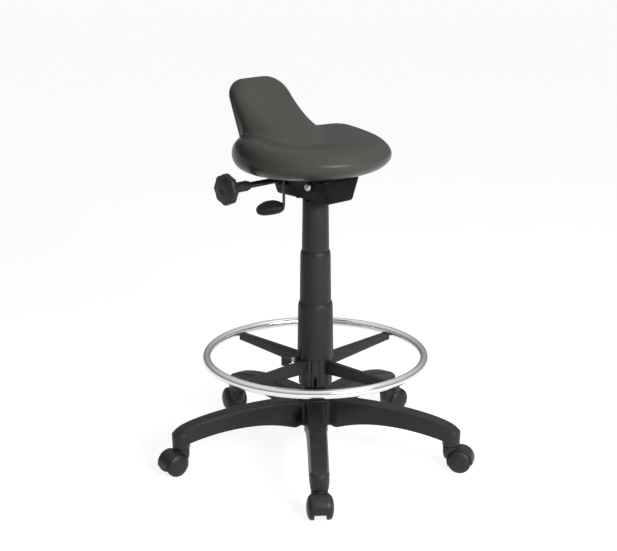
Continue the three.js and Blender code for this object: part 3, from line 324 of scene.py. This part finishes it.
# Castors: a nylon hood with a web between twin nylon wheels that turn on a steel axle. The hood swivels on
# a steel stem pushed up into the arm's socket, and the five stand turned as in the photograph.
castor_trail = 21.5
castor_swivels = [-18, -13, 19, 2, 0]
wheel_radius = 25
wheel_inner = 12.4
rolling = Matrix.Rotation(math.radians(-90), 4, "X")
axle = Matrix.Translation((castor_trail * mm, 0, wheel_radius * mm))


def drum(radius, low, high, steps=48):
    """An upright cylinder between two heights in mm."""
    shape = bmesh.new()
    bmesh.ops.create_cone(shape, cap_ends=True, segments=steps, radius1=radius * mm, radius2=radius * mm,
                          depth=(high - low) * mm)
    return moved(shape, Matrix.Translation((0, 0, (low + high) / 2 * mm)))


def block(low, high):
    """A box between two corners in mm."""
    low, high = Vector(low), Vector(high)
    shape = bmesh.new()
    bmesh.ops.create_cube(shape, size=1)
    return moved(shape, Matrix.Diagonal((*(high - low) * mm, 1)), Matrix.Translation((low + high) / 2 * mm))


def carved(shape, *tools, operation="DIFFERENCE"):
    """Cuts each tool out of the shape, or joins it on."""
    for tool in tools:
        held = blank(tool)
        shape = worked(shape, "BOOLEAN", object=held, operation=operation, solver="EXACT")
        bpy.data.meshes.remove(held.data)
    return shape


def hood():
    """A web between the wheels under a rim that arches over them, and the boss for the stem."""
    rim = [(25.7, 11.8, 0), (25.9, 18.8, 0.2), (26.6, 18.8, 0.4), (27.9, 15.5, 2.5)]
    profile = [(0, -11.8, 0), *((radius, -y, rounding) for radius, y, rounding in rim), *reversed(rim), (0, 11.8, 0)]
    shell = moved(turned(profile, 96), rolling, axle)
    boss = turned([(0, 24, 0), (13, 24, 4), (17.2, 36, 6), (17.2, 54, 1.2), (0, 54, 0)], 56)
    well = [(0, 11.6, 0), (25.8, 11.6, 0), (25.8, 40, 0), (0, 40, 0)]
    wells = [moved(turned(well, 96), rolling, Matrix.Rotation(turn, 4, "Z"), axle) for turn in (0, math.pi)]
    # The rim ends 13 mm over the floor and the web 10 mm, and beyond the axle both end at 20 mm
    below = [
        block((-40, -31, -21), (60, -wheel_inner, 13)), block((-40, wheel_inner, -21), (60, 31, 13)),
        block((-41, -32, -20), (61, 32, 10)), block((20, -33, -19), (62, 33, 20)),
    ]
    shape = carved(shell, carved(boss, *wells), operation="UNION")
    return carved(shape, *below, drum(5.8, 26.6, 60, 32))


def wheel():
    """A wheel about Y: tread, domed outer face, and a hub cap in a shallow groove."""
    tread_edge = 18.6

    def dome(radius):
        return tread_edge + 9 * math.sqrt(1 - (radius / wheel_radius) ** 2)

    outer = [(radius, dome(radius), 0) for radius in (23.8, 22.4, 20.5, 18, 15.5)]
    groove = dome(12.8) - 0.5
    profile = [
        (3.3, wheel_inner, 0), (7.5, wheel_inner, 0.4), (7.5, 15, 0), (21.5, 15, 0), (21.5, wheel_inner, 0.4),
        (wheel_radius, wheel_inner, 0.8), (wheel_radius, tread_edge, 1), *outer, (12.8, dome(12.8), 0.3),
        (12.4, groove, 0.2), (11.9, groove, 0.2), (11.5, dome(11.5), 0.3), (6, dome(7), 0), (0, dome(3), 0),
        (0, 24.2, 0), (3.3, 24.2, 0),
    ]
    return turned(profile, 64)


def zinc(place):
    drawn = place.stretched(1, 1, 0.05).clouds(1500, 2)
    return {
        "Base Color": place.clouds(90, 4).tint((0.42, 0.43, 0.45), (0.55, 0.56, 0.57)),
        "Roughness": 0.24 + 0.14 * drawn,
        "Metallic": 1.0,
        "Normal": drawn.relief(0.00002, 0.3),
    }


def dressed(material, *names):
    """Gives CAD nodes that keep their shape their finish."""
    for name in names:
        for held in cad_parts[name].material_slots:
            held.link = "OBJECT"
            held.material = material


bright_steel = finish("zinc_steel", zinc)
for number, (angle, swivel) in enumerate(zip(arm_angles, castor_swivels), 1):
    stem = Matrix.Rotation(angle, 4, "Z") @ Matrix.Translation((stem_circle * mm, 0, 0))
    place = stem @ Matrix.Rotation(math.radians(swivel), 4, "Z")
    piece(f"hood_{number}", moved(hood(), place), f"castor_{number}", "nylon", nylon, f"castor_hood_{number}")
    for side, turn in (("left", 0), ("right", math.pi)):
        shape = moved(wheel(), rolling, Matrix.Rotation(turn, 4, "Z"), axle, place)
        piece(f"wheel_{number}_{side}", shape, f"wheel_{number}_{side}", "nylon", nylon,
              f"castor_wheel_{number}_{side}")
    dressed(bright_steel, f"castor_stem_{number}", f"castor_axle_{number}")


# Gas lift column: a drawn steel tube, powder-coated black, pressed into the hub. In it an acetal bush
# guides the lift's cylinder, whose piston rod stands on a thrust bearing and is held by a clip below.
def powder_coat(place):
    peel = place.clouds(900, 2, 0.4)
    return {
        "Base Color": place.clouds(30, 3).tint((0.004, 0.004, 0.004), (0.007, 0.007, 0.0065)),
        "Roughness": 0.4 + 0.14 * peel,
        "Normal": peel.relief(0.00012, 0.35),
        "Specular IOR Level": 0.1,
    }


def natural_acetal(place):
    return {"Base Color": place.clouds(60).tint((0.62, 0.61, 0.57), (0.7, 0.69, 0.65)), "Roughness": 0.4}


black_paint = finish("black_powder_coat", powder_coat)
tube = [(5.7, 66, 0), (24.2, 66, 0.6), (25, 135, 0), (25, 345, 0.6), (23, 345, 0.4), (23, 69, 0), (5.7, 69, 0)]
piece("column", turned(tube, 96), "base", "painted_steel", black_paint, "column_tube")
dressed(finish("acetal", natural_acetal), "guide_bush")
dressed(bright_steel, "thrust_bearing", "piston_rod", "rod_clip", "gas_cylinder", "release_pin")


# Foot ring's spider: one nylon moulding that slides on the column. Its fluted hub is split at the front so
# that the lock knob can clamp it, and four channel-shaped arms end in cradles for the ring.
ring_radius = 232.5
ring_height = 226.4
spider_top = 222
spider_angles = [math.radians(2.4 + 90 * arm) for arm in range(4)]
lock_height = 216
lock_turn = Matrix.Rotation(math.radians(137), 4, "Z")
lying = Matrix.Rotation(math.radians(90), 4, "Y")


def torus(radius, steps=40):
    """The foot ring's own form, with a tube of the given radius."""
    section = [(ring_radius + radius * math.cos(turn), ring_height + radius * math.sin(turn), 0)
               for turn in (2 * math.pi * step / steps for step in range(steps))]
    return turned(section, 240)


def lofted(rings):
    """Joins a row of closed rings of points in mm, and closes both ends."""
    shape = bmesh.new()
    loops = []
    for ring in rings:
        points = [shape.verts.new(Vector(point) * mm) for point in ring]
        loops.append([shape.edges.new(pair) for pair in zip(points, points[1:] + points[:1])])
    for lower, upper in zip(loops, loops[1:]):
        bmesh.ops.bridge_loops(shape, edges=lower + upper)
    for end in (loops[0], loops[-1]):
        bmesh.ops.edgeloop_fill(shape, edges=end)
    return closed(shape)


def fluted(inset, height):
    """One level of the hub: twelve lands with a narrow groove between each two."""
    for step in range(240):
        turn = 2 * math.pi * step / 240
        groove = max(0, 1 - abs(math.remainder(12 * turn, 2 * math.pi))) ** 0.6
        reach = 35.7 - inset - 2.2 * groove
        yield (reach * math.cos(turn), reach * math.sin(turn), height)


def prism(outline, low, high):
    """An outline in the XZ plane, drawn out along Y."""
    shape = bmesh.new()
    face = shape.faces.new([shape.verts.new((x * mm, low * mm, z * mm)) for x, z in outline])
    far = bmesh.ops.extrude_face_region(shape, geom=[face])["geom"]
    bmesh.ops.translate(shape, vec=(0, (high - low) * mm, 0),
                        verts=[item for item in far if isinstance(item, bmesh.types.BMVert)])
    return closed(shape)


def eased(shape, width, above, segments=2):
    """Rounds the edges that are sharper than the angle."""
    sharp = [edge for edge in shape.edges if edge.calc_face_angle(0) > math.radians(above)]
    bmesh.ops.bevel(shape, geom=sharp, affect="EDGES", offset=width * mm, segments=segments, profile=0.5,
                    material=-1, clamp_overlap=True)
    return shape


def spider_arm():
    """An arm along X, hollow from below, with the ring's cradle in its upper side."""
    outline = [(28, 192), (52.7, 194.6), (223, 205), (234.5, 205), (234.5, spider_top), (28, spider_top)]
    hollow = [(38.3, 180), (213.5, 190), (213.5, spider_top - 3.4), (38.3, spider_top - 3.4)]
    arm = eased(prism(outline, -6.5, 6.5), 1.6, 30, 3)
    return carved(arm, prism(hollow, -3.9, 3.9), torus(9.8, 24))


def spider():
    """The fluted hub with its split, its bore and the lock screw's boss, and the four arms."""
    levels = [(1.2, 164), (0.3, 164.4), (0, 165.4), (0, 223.6), (0.3, 224.6), (1.2, 225)]
    hub = lofted([list(fluted(inset, height)) for inset, height in levels])
    raised = Matrix.Translation((0, 0, lock_height * mm))
    boss = moved(turned([(0, 27, 0), (8, 27, 0), (8, 44, 0.8), (0, 44, 0)], 40), lying, raised, lock_turn)
    hub = carved(hub, boss, operation="UNION")
    split = moved(block((20, -3, 150), (60, 3, 186)), Matrix.Rotation(math.radians(-133), 4, "Z"))
    screw_hole = moved(drum(4.3, 0, 60, 24), lying, raised, lock_turn)
    hub = carved(hub, drum(25.3, 150, 240, 96), split, screw_hole)
    return gathered(hub, *(moved(spider_arm(), Matrix.Rotation(angle, 4, "Z")) for angle in spider_angles))


piece("spider", spider(), "foot_rest", "nylon", nylon, "ring_spider")


# Foot ring: bright steel tube bent round, butt welded, ground and chromed, lying in the four cradles.
# The chrome is clean but for faint wipe marks and rubbed places where feet rest.
def chrome_plate(place):
    wiped = place.clouds(14, 4)
    fine = place.clouds(420, 3, 0.6)
    return {
        "Base Color": wiped.tint((0.78, 0.785, 0.8), (0.86, 0.865, 0.87)),
        "Roughness": 0.08 + 0.06 * wiped + 0.03 * fine,
        "Metallic": 0.85,
    }


piece("ring", torus(9.5), "foot_rest", "chrome", finish("chrome", chrome_plate), "foot_ring")


# Foot ring's lock knob: a six-lobed nylon knob moulded round the head of a steel screw, which passes
# through the hub's boss and bears on the column.
def lobed(radius, depth, lobes, inset, height, steps=20):
    """One level of a knob: rounded lobes with hollows between them."""
    for step in range(lobes * steps):
        turn = 2 * math.pi * step / (lobes * steps)
        reach = radius - inset - depth * (1 - math.cos(lobes * turn)) / 2
        yield (reach * math.cos(turn), reach * math.sin(turn), height)


def lobed_grip(radius, depth, lobes, low, high, edge):
    """A lobed disc with rounded rims."""
    levels = [(edge * (1 - math.sin(turn)), low + edge * (1 - math.cos(turn)))
              for turn in (math.radians(15 * step) for step in range(7))]
    levels += [(inset, low + high - height) for inset, height in reversed(levels)]
    return lofted([list(lobed(radius, depth, lobes, inset, height)) for inset, height in levels])


def lock_knob():
    """The knob on its short neck, out along the lock screw."""
    neck = turned([(0, 0, 0), (9.5, 0, 0.8), (9.5, 8, 0), (0, 8, 0)], 48)
    shape = gathered(neck, lobed_grip(15, 1.8, 6, 5, 22, 2))
    return moved(shape, lying, Matrix.Translation((51 * mm, 0, lock_height * mm)), lock_turn)


piece("lock_knob", lock_knob(), "ring_lock", "nylon", nylon, "ring_lock_knob")
dressed(bright_steel, "ring_lock_screw")


# Telescoping covers: three tapered sleeves of dark grey polypropylene with fine upright draw marks. The
# lower one stands on the spider's hub, the top one hangs from the lift, and the middle one rides between.
def grey_polypropylene(place):
    drawn = place.stretched(1, 1, 0.03).clouds(700, 3, 0.6)
    rubbed = place.clouds(24, 4)
    return {
        "Base Color": (0.5 * drawn + 0.5 * rubbed).tint((0.022, 0.022, 0.023), (0.042, 0.042, 0.043)),
        "Roughness": 0.34 + 0.1 * drawn + 0.1 * rubbed,
        "Normal": drawn.relief(0.00005, 0.4),
        "Specular IOR Level": 0.2,
    }


grey_plastic = finish("grey_polypropylene", grey_polypropylene)


def sleeve(radius, low, high, neck, lip):
    """A cover: a tapered wall that is necked in at the top, with a lip turned in."""
    wall, taper = 1.6, 0.0134
    top = radius - taper * (high - low)
    return turned(
        [(radius - wall, low, 0.2), (radius, low, 0.5), (top, high - 8, 1.5), (neck, high, 0.4), (lip, high, 0.2),
         (lip, high - 3, 0.2), (top - wall, high - 10, 0), (radius - wall, low + 2, 0)],
        120,
    )


for name, body, sizes in (
    ("lower", "foot_rest", (38.6, 225.3, 347, 35.1, 34.35)),
    ("middle", "mid_sleeve", (34.1, 302, 459, 30.4, 29.6)),
    ("top", "lift", (29.35, 420, 570, 27.3, 14.3)),
):
    piece(f"cover_{name}", sleeve(*sizes), body, "cover_plastic", grey_plastic, f"{name}_cover")


# Tilt housing: a pressed steel trough, powder-coated black, welded to a socket that takes the lift's
# taper. Flat pads stiffen it under the bolts, and two ears carry the height lever.
housing_low, housing_high = 573, 620
housing_wall = 2.5
pivot_y, pivot_height = -32, 607
clamp_y, clamp_height = 58, 608
lever_turn = Matrix.Rotation(math.radians(137), 4, "Z")
lever_hinge, wire_height = 34, 610.8


def trough(offset, rounding):
    """The trough's outer or inner form: sloping walls, drafted ends, rounded bottom edges."""
    low, high = housing_low + offset, housing_high + (2 if offset else 0)
    slope, draft = 0.33, 3
    bottom, top = 34.5 + slope * offset - offset, 50 + slope * (high - housing_high) - offset
    front, rear = 79 - offset, 86 - offset
    shape = lofted([
        [(-bottom, draft - front, low), (bottom, draft - front, low), (bottom, rear - draft, low),
         (-bottom, rear - draft, low)],
        [(-top, -front, high), (top, -front, high), (top, rear, high), (-top, rear, high)],
    ])
    lower = [edge for edge in shape.edges if min(vert.co.z for vert in edge.verts) < (low + 1) * mm]
    bmesh.ops.bevel(shape, geom=lower, affect="EDGES", offset=rounding * mm, segments=5, profile=0.5, material=-1)
    return shape


def cross_bars(radius, reach):
    """Two bars from side to side through the places of the pivot bolt and the clamp rod."""
    for y, height in ((pivot_y, pivot_height), (clamp_y, clamp_height)):
        yield moved(drum(radius, -reach, reach), lying, Matrix.Translation((0, y * mm, height * mm)))


def hinged(shape):
    """A shape about Z laid across the lever, where it hinges."""
    return moved(shape, Matrix.Rotation(math.radians(90), 4, "X"),
                 Matrix.Translation((lever_hinge * mm, 0, wire_height * mm)), lever_turn)


def housing():
    """The trough with pads, the taper's socket and the ears, cut for the lever and the bolts."""
    outside = carved(trough(0, 6), *cross_bars(11, 50), operation="UNION")
    shape = carved(outside, trough(housing_wall, 4))
    ears = [moved(block((28, side * 9.25 - 1.25, housing_low), (40, side * 9.25 + 1.25, 616.3)), lever_turn)
            for side in (-1, 1)]
    shape = carved(shape, drum(19, housing_low, 600), *ears, operation="UNION")
    notch = moved(block((46, -5, 599), (96, 5, 640)), lever_turn)
    shape = carved(shape, drum(14.2, 560, 603), notch, hinged(drum(2.8, -13, 13, 24)), *cross_bars(5.3, 60))
    return eased(closed(shape), 0.4, 40)


piece("housing", housing(), "lift", "painted_steel", black_paint, "tilt_housing")


# Pivot bolt and clamp rod: a bright zinc-plated button-head bolt and a black zinc-plated rod, through the
# housing's walls and the seat bracket's ears, with hexagon nuts. The rod runs out to the right, into the knob.
def nut(radius, height):
    """A chamfered hexagon nut or head with its face at zero."""
    shape = bmesh.new()
    bmesh.ops.create_cone(shape, cap_ends=True, segments=6, radius1=radius * mm, radius2=radius * mm,
                          depth=height * mm)
    moved(shape, Matrix.Translation((0, 0, height / 2 * mm)))
    cone = turned([(0, -1, 0), (radius + 1, -1, 0), (radius + 1, height - 1.4, 0), (radius * 0.86, height, 0.2),
                   (0, height, 0)], 48)
    return carved(shape, cone, operation="INTERSECT")


def black_zinc(place):
    drawn = place.stretched(0.05, 1, 1).clouds(1100, 2)
    return {
        "Base Color": place.clouds(70, 4).tint((0.035, 0.035, 0.037), (0.075, 0.075, 0.078)),
        "Roughness": 0.27 + 0.14 * drawn,
        "Metallic": 0.75,
        "Normal": drawn.relief(0.00002, 0.3),
    }


black_steel = finish("black_zinc_steel", black_zinc)


def threaded(radius, low, high, lead):
    """A shank whose last stretch, of the given length, carries ridges 1 mm apart as a thread."""
    root = radius - 0.45
    ridges = []
    for turn in range(lead):
        at = high - lead + turn
        ridges += [(root, at + 0.1, 0), (radius, at + 0.5, 0), (root, at + 0.9, 0)]
    return turned([(0, low, 0), (radius, low, 0.3), (radius, high - lead, 0), *ridges, (radius - 1, high, 0),
                   (0, high, 0)], 40)


def pivot_bolt():
    """A button-headed bolt with a hexagon socket."""
    head = turned([(0, -56.3, 0), (5.4, -56.3, 1), (8.5, -53.6, 1.2), (8.5, -50.3, 0.3), (0, -50.3, 0)], 48)
    head = carved(head, moved(nut(3.4, 6), Matrix.Translation((0, 0, -59.6 * mm))))
    shape = gathered(head, threaded(5, -53, 61.3, 12))
    return moved(shape, lying, Matrix.Translation((0, pivot_y * mm, pivot_height * mm)))


def clamp_rod():
    """The rod in a tight sleeve between the knob's collar and the housing's wall."""
    sleeve_tube = turned([(4.9, -133, 0), (6.3, -133, 0.5), (6.3, -56, 0.5), (4.9, -56, 0)], 40)
    shape = gathered(threaded(5, -192, 61.3, 12), sleeve_tube)
    return moved(shape, lying, Matrix.Translation((0, clamp_y * mm, clamp_height * mm)))


piece("bolt_pivot", pivot_bolt(), "lift", "bright_steel", bright_steel, "pivot_bolt")
piece("rod_clamp", clamp_rod(), "clamp", "bright_steel", black_steel, "clamp_rod")
for name, radius, y, height in (
    ("pivot_nut", 8.5, pivot_y, pivot_height),
    ("clamp_nut", 9, clamp_y, clamp_height),
):
    shape = carved(nut(radius, 7.7), drum(5.3, -2, 10, 32))
    moved(shape, lying, Matrix.Translation((50.3 * mm, y * mm, height * mm)))
    piece(f"hex_{name}", shape, "lift", "bright_steel", bright_steel, name)


# Tilt knob: a black nylon knob with eight lobes and a long stepped collar, moulded round the clamp rod's
# end. It is turned by hand to lock the seat's tilt.
def tilt_knob():
    """The collar, the lobed grip on its end and the grip's raised crown, out along the clamp rod."""
    collar = turned(
        [(0, 0, 0), (9, 0, 0.8), (9, 5, 0.3), (10.8, 6.5, 0.4), (10.8, 28, 0.6), (9, 29.5, 0.4), (9.4, 40, 0),
         (10.4, 47, 0), (12.6, 52, 0), (16, 55, 0), (0, 58, 0)],
        64,
    )
    grip = lobed_grip(32.6, 2.2, 8, 51, 67, 5)
    crown = turned(
        [(0, 60, 0), (28.6, 60, 0), (28.6, 65.6, 2.5), (20, 68.4, 0), (8, 69.6, 1), (6.4, 68, 0.6), (0, 68, 0)],
        96,
    )
    shape = gathered(collar, carved(grip, crown, operation="UNION"))
    return moved(shape, Matrix.Rotation(math.radians(-90), 4, "Y"),
                 Matrix.Translation((-132 * mm, clamp_y * mm, clamp_height * mm)))


piece("knob_tilt", tilt_knob(), "clamp", "nylon", nylon, "tilt_knob")


# Height lever: black zinc-plated wire that rocks on a cross pin in the housing's ears and presses the lift's
# pin. Outside the housing it turns down and out again, into a black nylon paddle shaped like a leaf.
wire_low = 549
lever_drop = 66
lever_bend = 7
wire_radius = 2.9
paddle_droop = math.radians(8)


def lever_path(steps=8):
    """The wire's middle line in the lever's own plane, with its two bends as arcs."""
    corners = [(-3, wire_height), (lever_drop, wire_height), (lever_drop, wire_low),
               (lever_drop + 33, wire_low - 26 * math.tan(paddle_droop))]
    path = [Vector(corners[0])]
    for before, corner, after in zip(corners, corners[1:], corners[2:]):
        before, corner, after = Vector(before), Vector(corner), Vector(after)
        first = corner + (before - corner).normalized() * lever_bend
        last = corner + (after - corner).normalized() * lever_bend
        for step in range(steps + 1):
            share = step / steps
            path.append(first.lerp(corner, share).lerp(corner.lerp(last, share), share))
    return path + [Vector(corners[-1])]


def swept(path, radius, steps=24):
    """A round bar along a path in the XZ plane."""
    rings = []
    for number, point in enumerate(path):
        before, after = path[max(0, number - 1)], path[min(len(path) - 1, number + 1)]
        run = (after - before).normalized()
        ring = []
        for step in range(steps):
            turn = 2 * math.pi * step / steps
            out = radius * math.cos(turn)
            ring.append((point.x - run.y * out, radius * math.sin(turn), point.y + run.x * out))
        rings.append(ring)
    return lofted(rings)


def lever_wire():
    """The wire and the cross pin that it hinges on."""
    pin = turned([(0, -10.5, 0), (2.5, -10.5, 0.4), (2.5, 10.5, 0.4), (0, 10.5, 0)], 24)
    return gathered(moved(swept(lever_path(), wire_radius), lever_turn), hinged(pin))


def squared_round(half_length, half_width, corner, steps):
    """A round drawn out towards its corners, more so the smaller the corner's power."""
    for step in range(steps):
        turn = 2 * math.pi * step / steps
        reach = [math.copysign(abs(value) ** corner, value) for value in (math.cos(turn), math.sin(turn))]
        yield (reach[0] * half_length, reach[1] * half_width)


def paddle():
    """A leaf-shaped blade, whose outer edge runs to a blunt point, with a socket for the wire."""
    half_length, half_width, edge = 30, 18, 3
    rings = []
    for step in range(9):
        turn = math.radians(-80 + 20 * step)
        inset = edge * (1 - math.cos(turn))
        height = edge * math.sin(turn)
        outline = squared_round(half_length - inset, half_width - inset, 0.72, 80)
        rings.append([(x * (1 - 0.42 * max(0, -y / half_width) ** 1.6), y, height) for x, y in outline])
    blade = moved(lofted(rings), Matrix.Translation((21 * mm, -5 * mm, 0)),
                  Matrix.Rotation(math.radians(-42), 4, "X"))
    holder = moved(turned([(0, -2, 0), (5, -2, 0.6), (5, 31, 2.4), (0, 31, 0)], 40), lying)
    shape = carved(blade, holder, operation="UNION")
    moved(shape, Matrix.Rotation(paddle_droop, 4, "Y"),
          Matrix.Translation(((lever_drop + lever_bend) * mm, 0, wire_low * mm)))
    return moved(eased(shape, 0.6, 30), lever_turn)


piece("wire", lever_wire(), "lever", "bright_steel", black_steel, "lever_wire")
piece("paddle", paddle(), "lever", "nylon", nylon, "lever_paddle")


# Seat bracket and board: a pressed steel plate with ears, powder-coated black, held by four black hexagon
# bolts to a beech plywood board that is foamed into the seat's underside.
def beech_plywood(place):
    plies = place.node("ShaderNodeTexWave", {"bands_direction": "Z"},
                       {"Vector": place, "Scale": 210, "Distortion": 0.6})
    fibre = place.stretched(1, 0.05, 1).clouds(500, 4)
    return {
        "Base Color": (0.6 * plies + 0.4 * fibre).tint((0.32, 0.19, 0.1), (0.55, 0.38, 0.22)),
        "Roughness": 0.55 + 0.15 * fibre,
        "Normal": fibre.relief(0.00008, 0.4),
    }


dressed(black_paint, "seat_bracket")
dressed(finish("plywood", beech_plywood), "seat_board")
dressed(black_steel, *(f"seat_bolt_{number}" for number in range(1, 5)))


# Seat: integral-skin polyurethane foam, dark olive grey, moulded in one with its low backrest. The skin
# has a fine leather-like grain and a soft sheen, and is a little paler where hands and clothes rub it.
seat_middle = 11.8
seat_underside = 628
rim_height = 664.3
crest_height = 694.7
back_top, back_rear = 801.6, 214.5
pan_radius = 106
seat_radius = 165.1


def quarter(steps):
    """The turns of a quarter round, without its start."""
    return [math.pi / 2 * (step + 1) / steps for step in range(steps)]


def share(value, low, high):
    """How far a value is on its way from low to high, from 0 to 1."""
    return max(0, min(1, (value - low) / (high - low)))


def seat_pad():
    """A turned pad, then worked: raised beside the backrest, falling at the front, fuller below at the rear."""
    below = [(pan_radius + 59.1 * math.sin(turn) ** 0.9, seat_underside + 36.3 * (1 - math.cos(turn)), 0)
             for turn in quarter(16)]
    above = [(seat_radius - 29.2 * (1 - math.cos(turn) ** 1.26), rim_height + 30.4 * math.sin(turn), 0)
             for turn in quarter(16)]
    dish = [(135.9 * part, crest_height - 6.5 * (1 + math.cos(math.pi * part)), 0)
            for part in (0.93, 0.86, 0.78, 0.68, 0.56, 0.42, 0.25, 0)]
    shape = turned([(0, seat_underside, 0), (pan_radius, seat_underside, 0), *below, *above, *dish], 120)
    for vert in shape.verts:
        reach = vert.co.xy.length / mm
        height = vert.co.z / mm
        rear = math.atan2(vert.co.y, abs(vert.co.x))
        raised = share(height, rim_height, rim_height + 20) * min(1, (reach / 130) ** 2)
        shoulder = 7.3 * math.exp(-((math.degrees(rear) - 22) / 18) ** 2)
        waterfall = 6 * max(0, -math.sin(rear))
        lift = raised * (3.1 * math.cos(rear) ** 2 + 2.8 * math.sin(rear) + shoulder - waterfall)
        belly = share(reach, pan_radius, pan_radius + 30) * share(height, rim_height, rim_height - 20)
        vert.co.z += (lift - 4 * belly * math.sin(rear)) * mm
    return moved(shape, Matrix.Translation((0, seat_middle * mm, 0)))


def backrest():
    """Level rings from inside the pad up to the rounded top, drawn forward and wider near the root."""
    root, corner, half_thickness, round_top = 682, 0.62, 22, 37.7
    rings = []
    for step in range(33):
        rise = math.sin(math.pi / 2 * step / 32)
        height = root + (back_top - root) * rise
        flare = max(0, 1 - (height - 700) / 119.8) ** 2.16
        top = max(0, (height - back_top + round_top) / round_top)
        drawn = 1 - math.sqrt(1 - 0.985 * top ** 2)
        half_width = 79.8 - 5.5 * rise - 44.9 * drawn
        half_depth = half_thickness * (1 - 0.75 * drawn)
        middle = back_rear - half_thickness - 0.46 * (back_top - height)
        ring = []
        for x, y in squared_round(1, 1, corner, 96):
            forward = flare * max(0, -y) ** (1 / corner)
            ring.append((x * (half_width + 32.4 * forward), middle + y * (half_depth + 81.2 * forward), height))
        rings.append(ring)
    return lofted(rings)


def leather_grain(place):
    """Cells with fine grooves between them, as on integral-skin foam."""
    drift = place.node("ShaderNodeVectorMath", {"operation": "SCALE"}, {0: place.clouds(600, 2), "Scale": 0.0005})
    warped = place.node("ShaderNodeVectorMath", {"operation": "ADD"}, {0: place, 1: drift})
    cells = warped.node("ShaderNodeTexVoronoi", {"feature": "DISTANCE_TO_EDGE"}, {"Vector": warped, "Scale": 780})
    pebbles = cells.within(0.0, 0.22)
    fine = place.clouds(2600, 2)
    worn = place.clouds(9, 5)
    return {
        "Base Color": (0.75 * worn + 0.25 * pebbles).tint((0.054, 0.055, 0.049), (0.098, 0.098, 0.087)),
        "Roughness": 0.28 + 0.06 * worn - 0.02 * pebbles,
        "Normal": (pebbles + 0.2 * fine).relief(0.00003, 0.12),
        "Specular IOR Level": 0.15,
    }


def seat():
    """Pad and backrest as one skin, smoothed most where they meet, and hollowed for the board."""
    whole = worked(gathered(seat_pad(), backrest()), "REMESH", mode="VOXEL", voxel_size=2.8 * mm)
    whole = worked(whole, "SMOOTH", factor=0.5, iterations=10)
    for inset in range(0, 25, 4):
        root = [vert for vert in whole.verts if 10 + inset < vert.co.y / mm < 130 - inset
                and abs(vert.co.x) / mm < 135 - inset and vert.co.z / mm > 684]
        for _ in range(10):
            bmesh.ops.smooth_vert(whole, verts=root, factor=0.5, use_axis_x=True, use_axis_y=True, use_axis_z=True)
    return carved(whole, moved(drum(105.3, 600, 640.3, 96), Matrix.Translation((0, seat_middle * mm, 0))))


seat_skin = finish("integral_skin_foam", leather_grain)
piece("seat", seat(), "seat", "seat_foam", seat_skin, "seat_moulding")


# Studio: a plain pale floor, soft light from the sitter's front and a little from above, and the camera
# where the photograph was taken from.
floor_shape = bmesh.new()
bmesh.ops.create_grid(floor_shape, x_segments=1, y_segments=1, size=40)
floor_mesh = bpy.data.meshes.new("floor")
floor_shape.to_mesh(floor_mesh)
floor_shape.free()
floor = bpy.data.objects.new("floor", floor_mesh)
bpy.context.scene.collection.objects.link(floor)


def rays(start):
    """Whether the floor or a wall is looked at, mirrored, or seen through something."""
    return [start.node("ShaderNodeLightPath", output=f"Is {ray} Ray") for ray in ("Camera", "Glossy", "Transmission")]


def pale_floor(place):
    """Pale in the lamps' light, and lifted to near white where it is looked at or mirrored."""
    seen, mirrored, through = rays(place)
    return {
        "Base Color": place.clouds(2).tint((0.4, 0.4, 0.4), (0.42, 0.42, 0.42)),
        "Roughness": 0.8,
        "Specular IOR Level": 0.2,
        "Emission Color": (seen + mirrored + through).tint((0, 0, 0), (0.88, 0.88, 0.88)),
        "Emission Strength": 1.0,
    }


floor_mesh.materials.append(finish("pale_floor", pale_floor))

# The room: dim walls, brighter overhead, that light the unlit sides; lifted where they are mirrored, so that they
# show in the chrome and along the edges, and pale where they are looked at
world = bpy.data.worlds.new("studio")
bpy.context.scene.world = world
world.use_nodes = True
room = Value(world.node_tree)
direction = room.node("ShaderNodeTexCoord", output="Generated")
height = room.node("ShaderNodeSeparateXYZ", inputs={0: direction}, output=2)
seen, mirrored, through = rays(room)
wall_light = (0.03 + 0.12 * height.within(0.15, 0.9)) * (1 + 5 * (mirrored + through)) + 0.82 * seen
world.node_tree.links.new(wall_light.socket, world.node_tree.nodes["Background"].inputs["Color"])
world.node_tree.nodes["Background"].inputs["Strength"].default_value = 1


def softbox(name, side, power, width, height):
    """A rectangular lamp that shines on the stool's middle from the given side."""
    light = bpy.data.lights.new(name, "AREA")
    light.shape = "RECTANGLE"
    light.size, light.size_y = width, height
    light.energy = power
    away = Vector(side).normalized()
    held = bpy.data.objects.new(name, light)
    held.location = column + Vector((0, 0, 0.5)) + 2.6 * away
    held.rotation_mode = "QUATERNION"
    held.rotation_quaternion = away.to_track_quat("Z", "Y")
    bpy.context.scene.collection.objects.link(held)


softbox("key", (-0.12, -1, 0.4), 68, 1.4, 0.7)
softbox("top", (0.3, -0.2, 1), 4, 1.5, 1.5)

eye = bpy.data.cameras.new("eye")
eye.sensor_width = 36
eye.lens = 36 * 1315 / 617
camera = bpy.data.objects.new("eye", eye)
camera.location = column + Vector((-1.8276, -1.9383, 1.178))
camera.rotation_mode = "QUATERNION"
camera.rotation_quaternion = Vector((0.6549, 0.7023, -0.2792)).to_track_quat("-Z", "Y")
bpy.context.scene.collection.objects.link(camera)
bpy.context.scene.camera = camera
bpy.context.scene.view_settings.view_transform = "Standard"
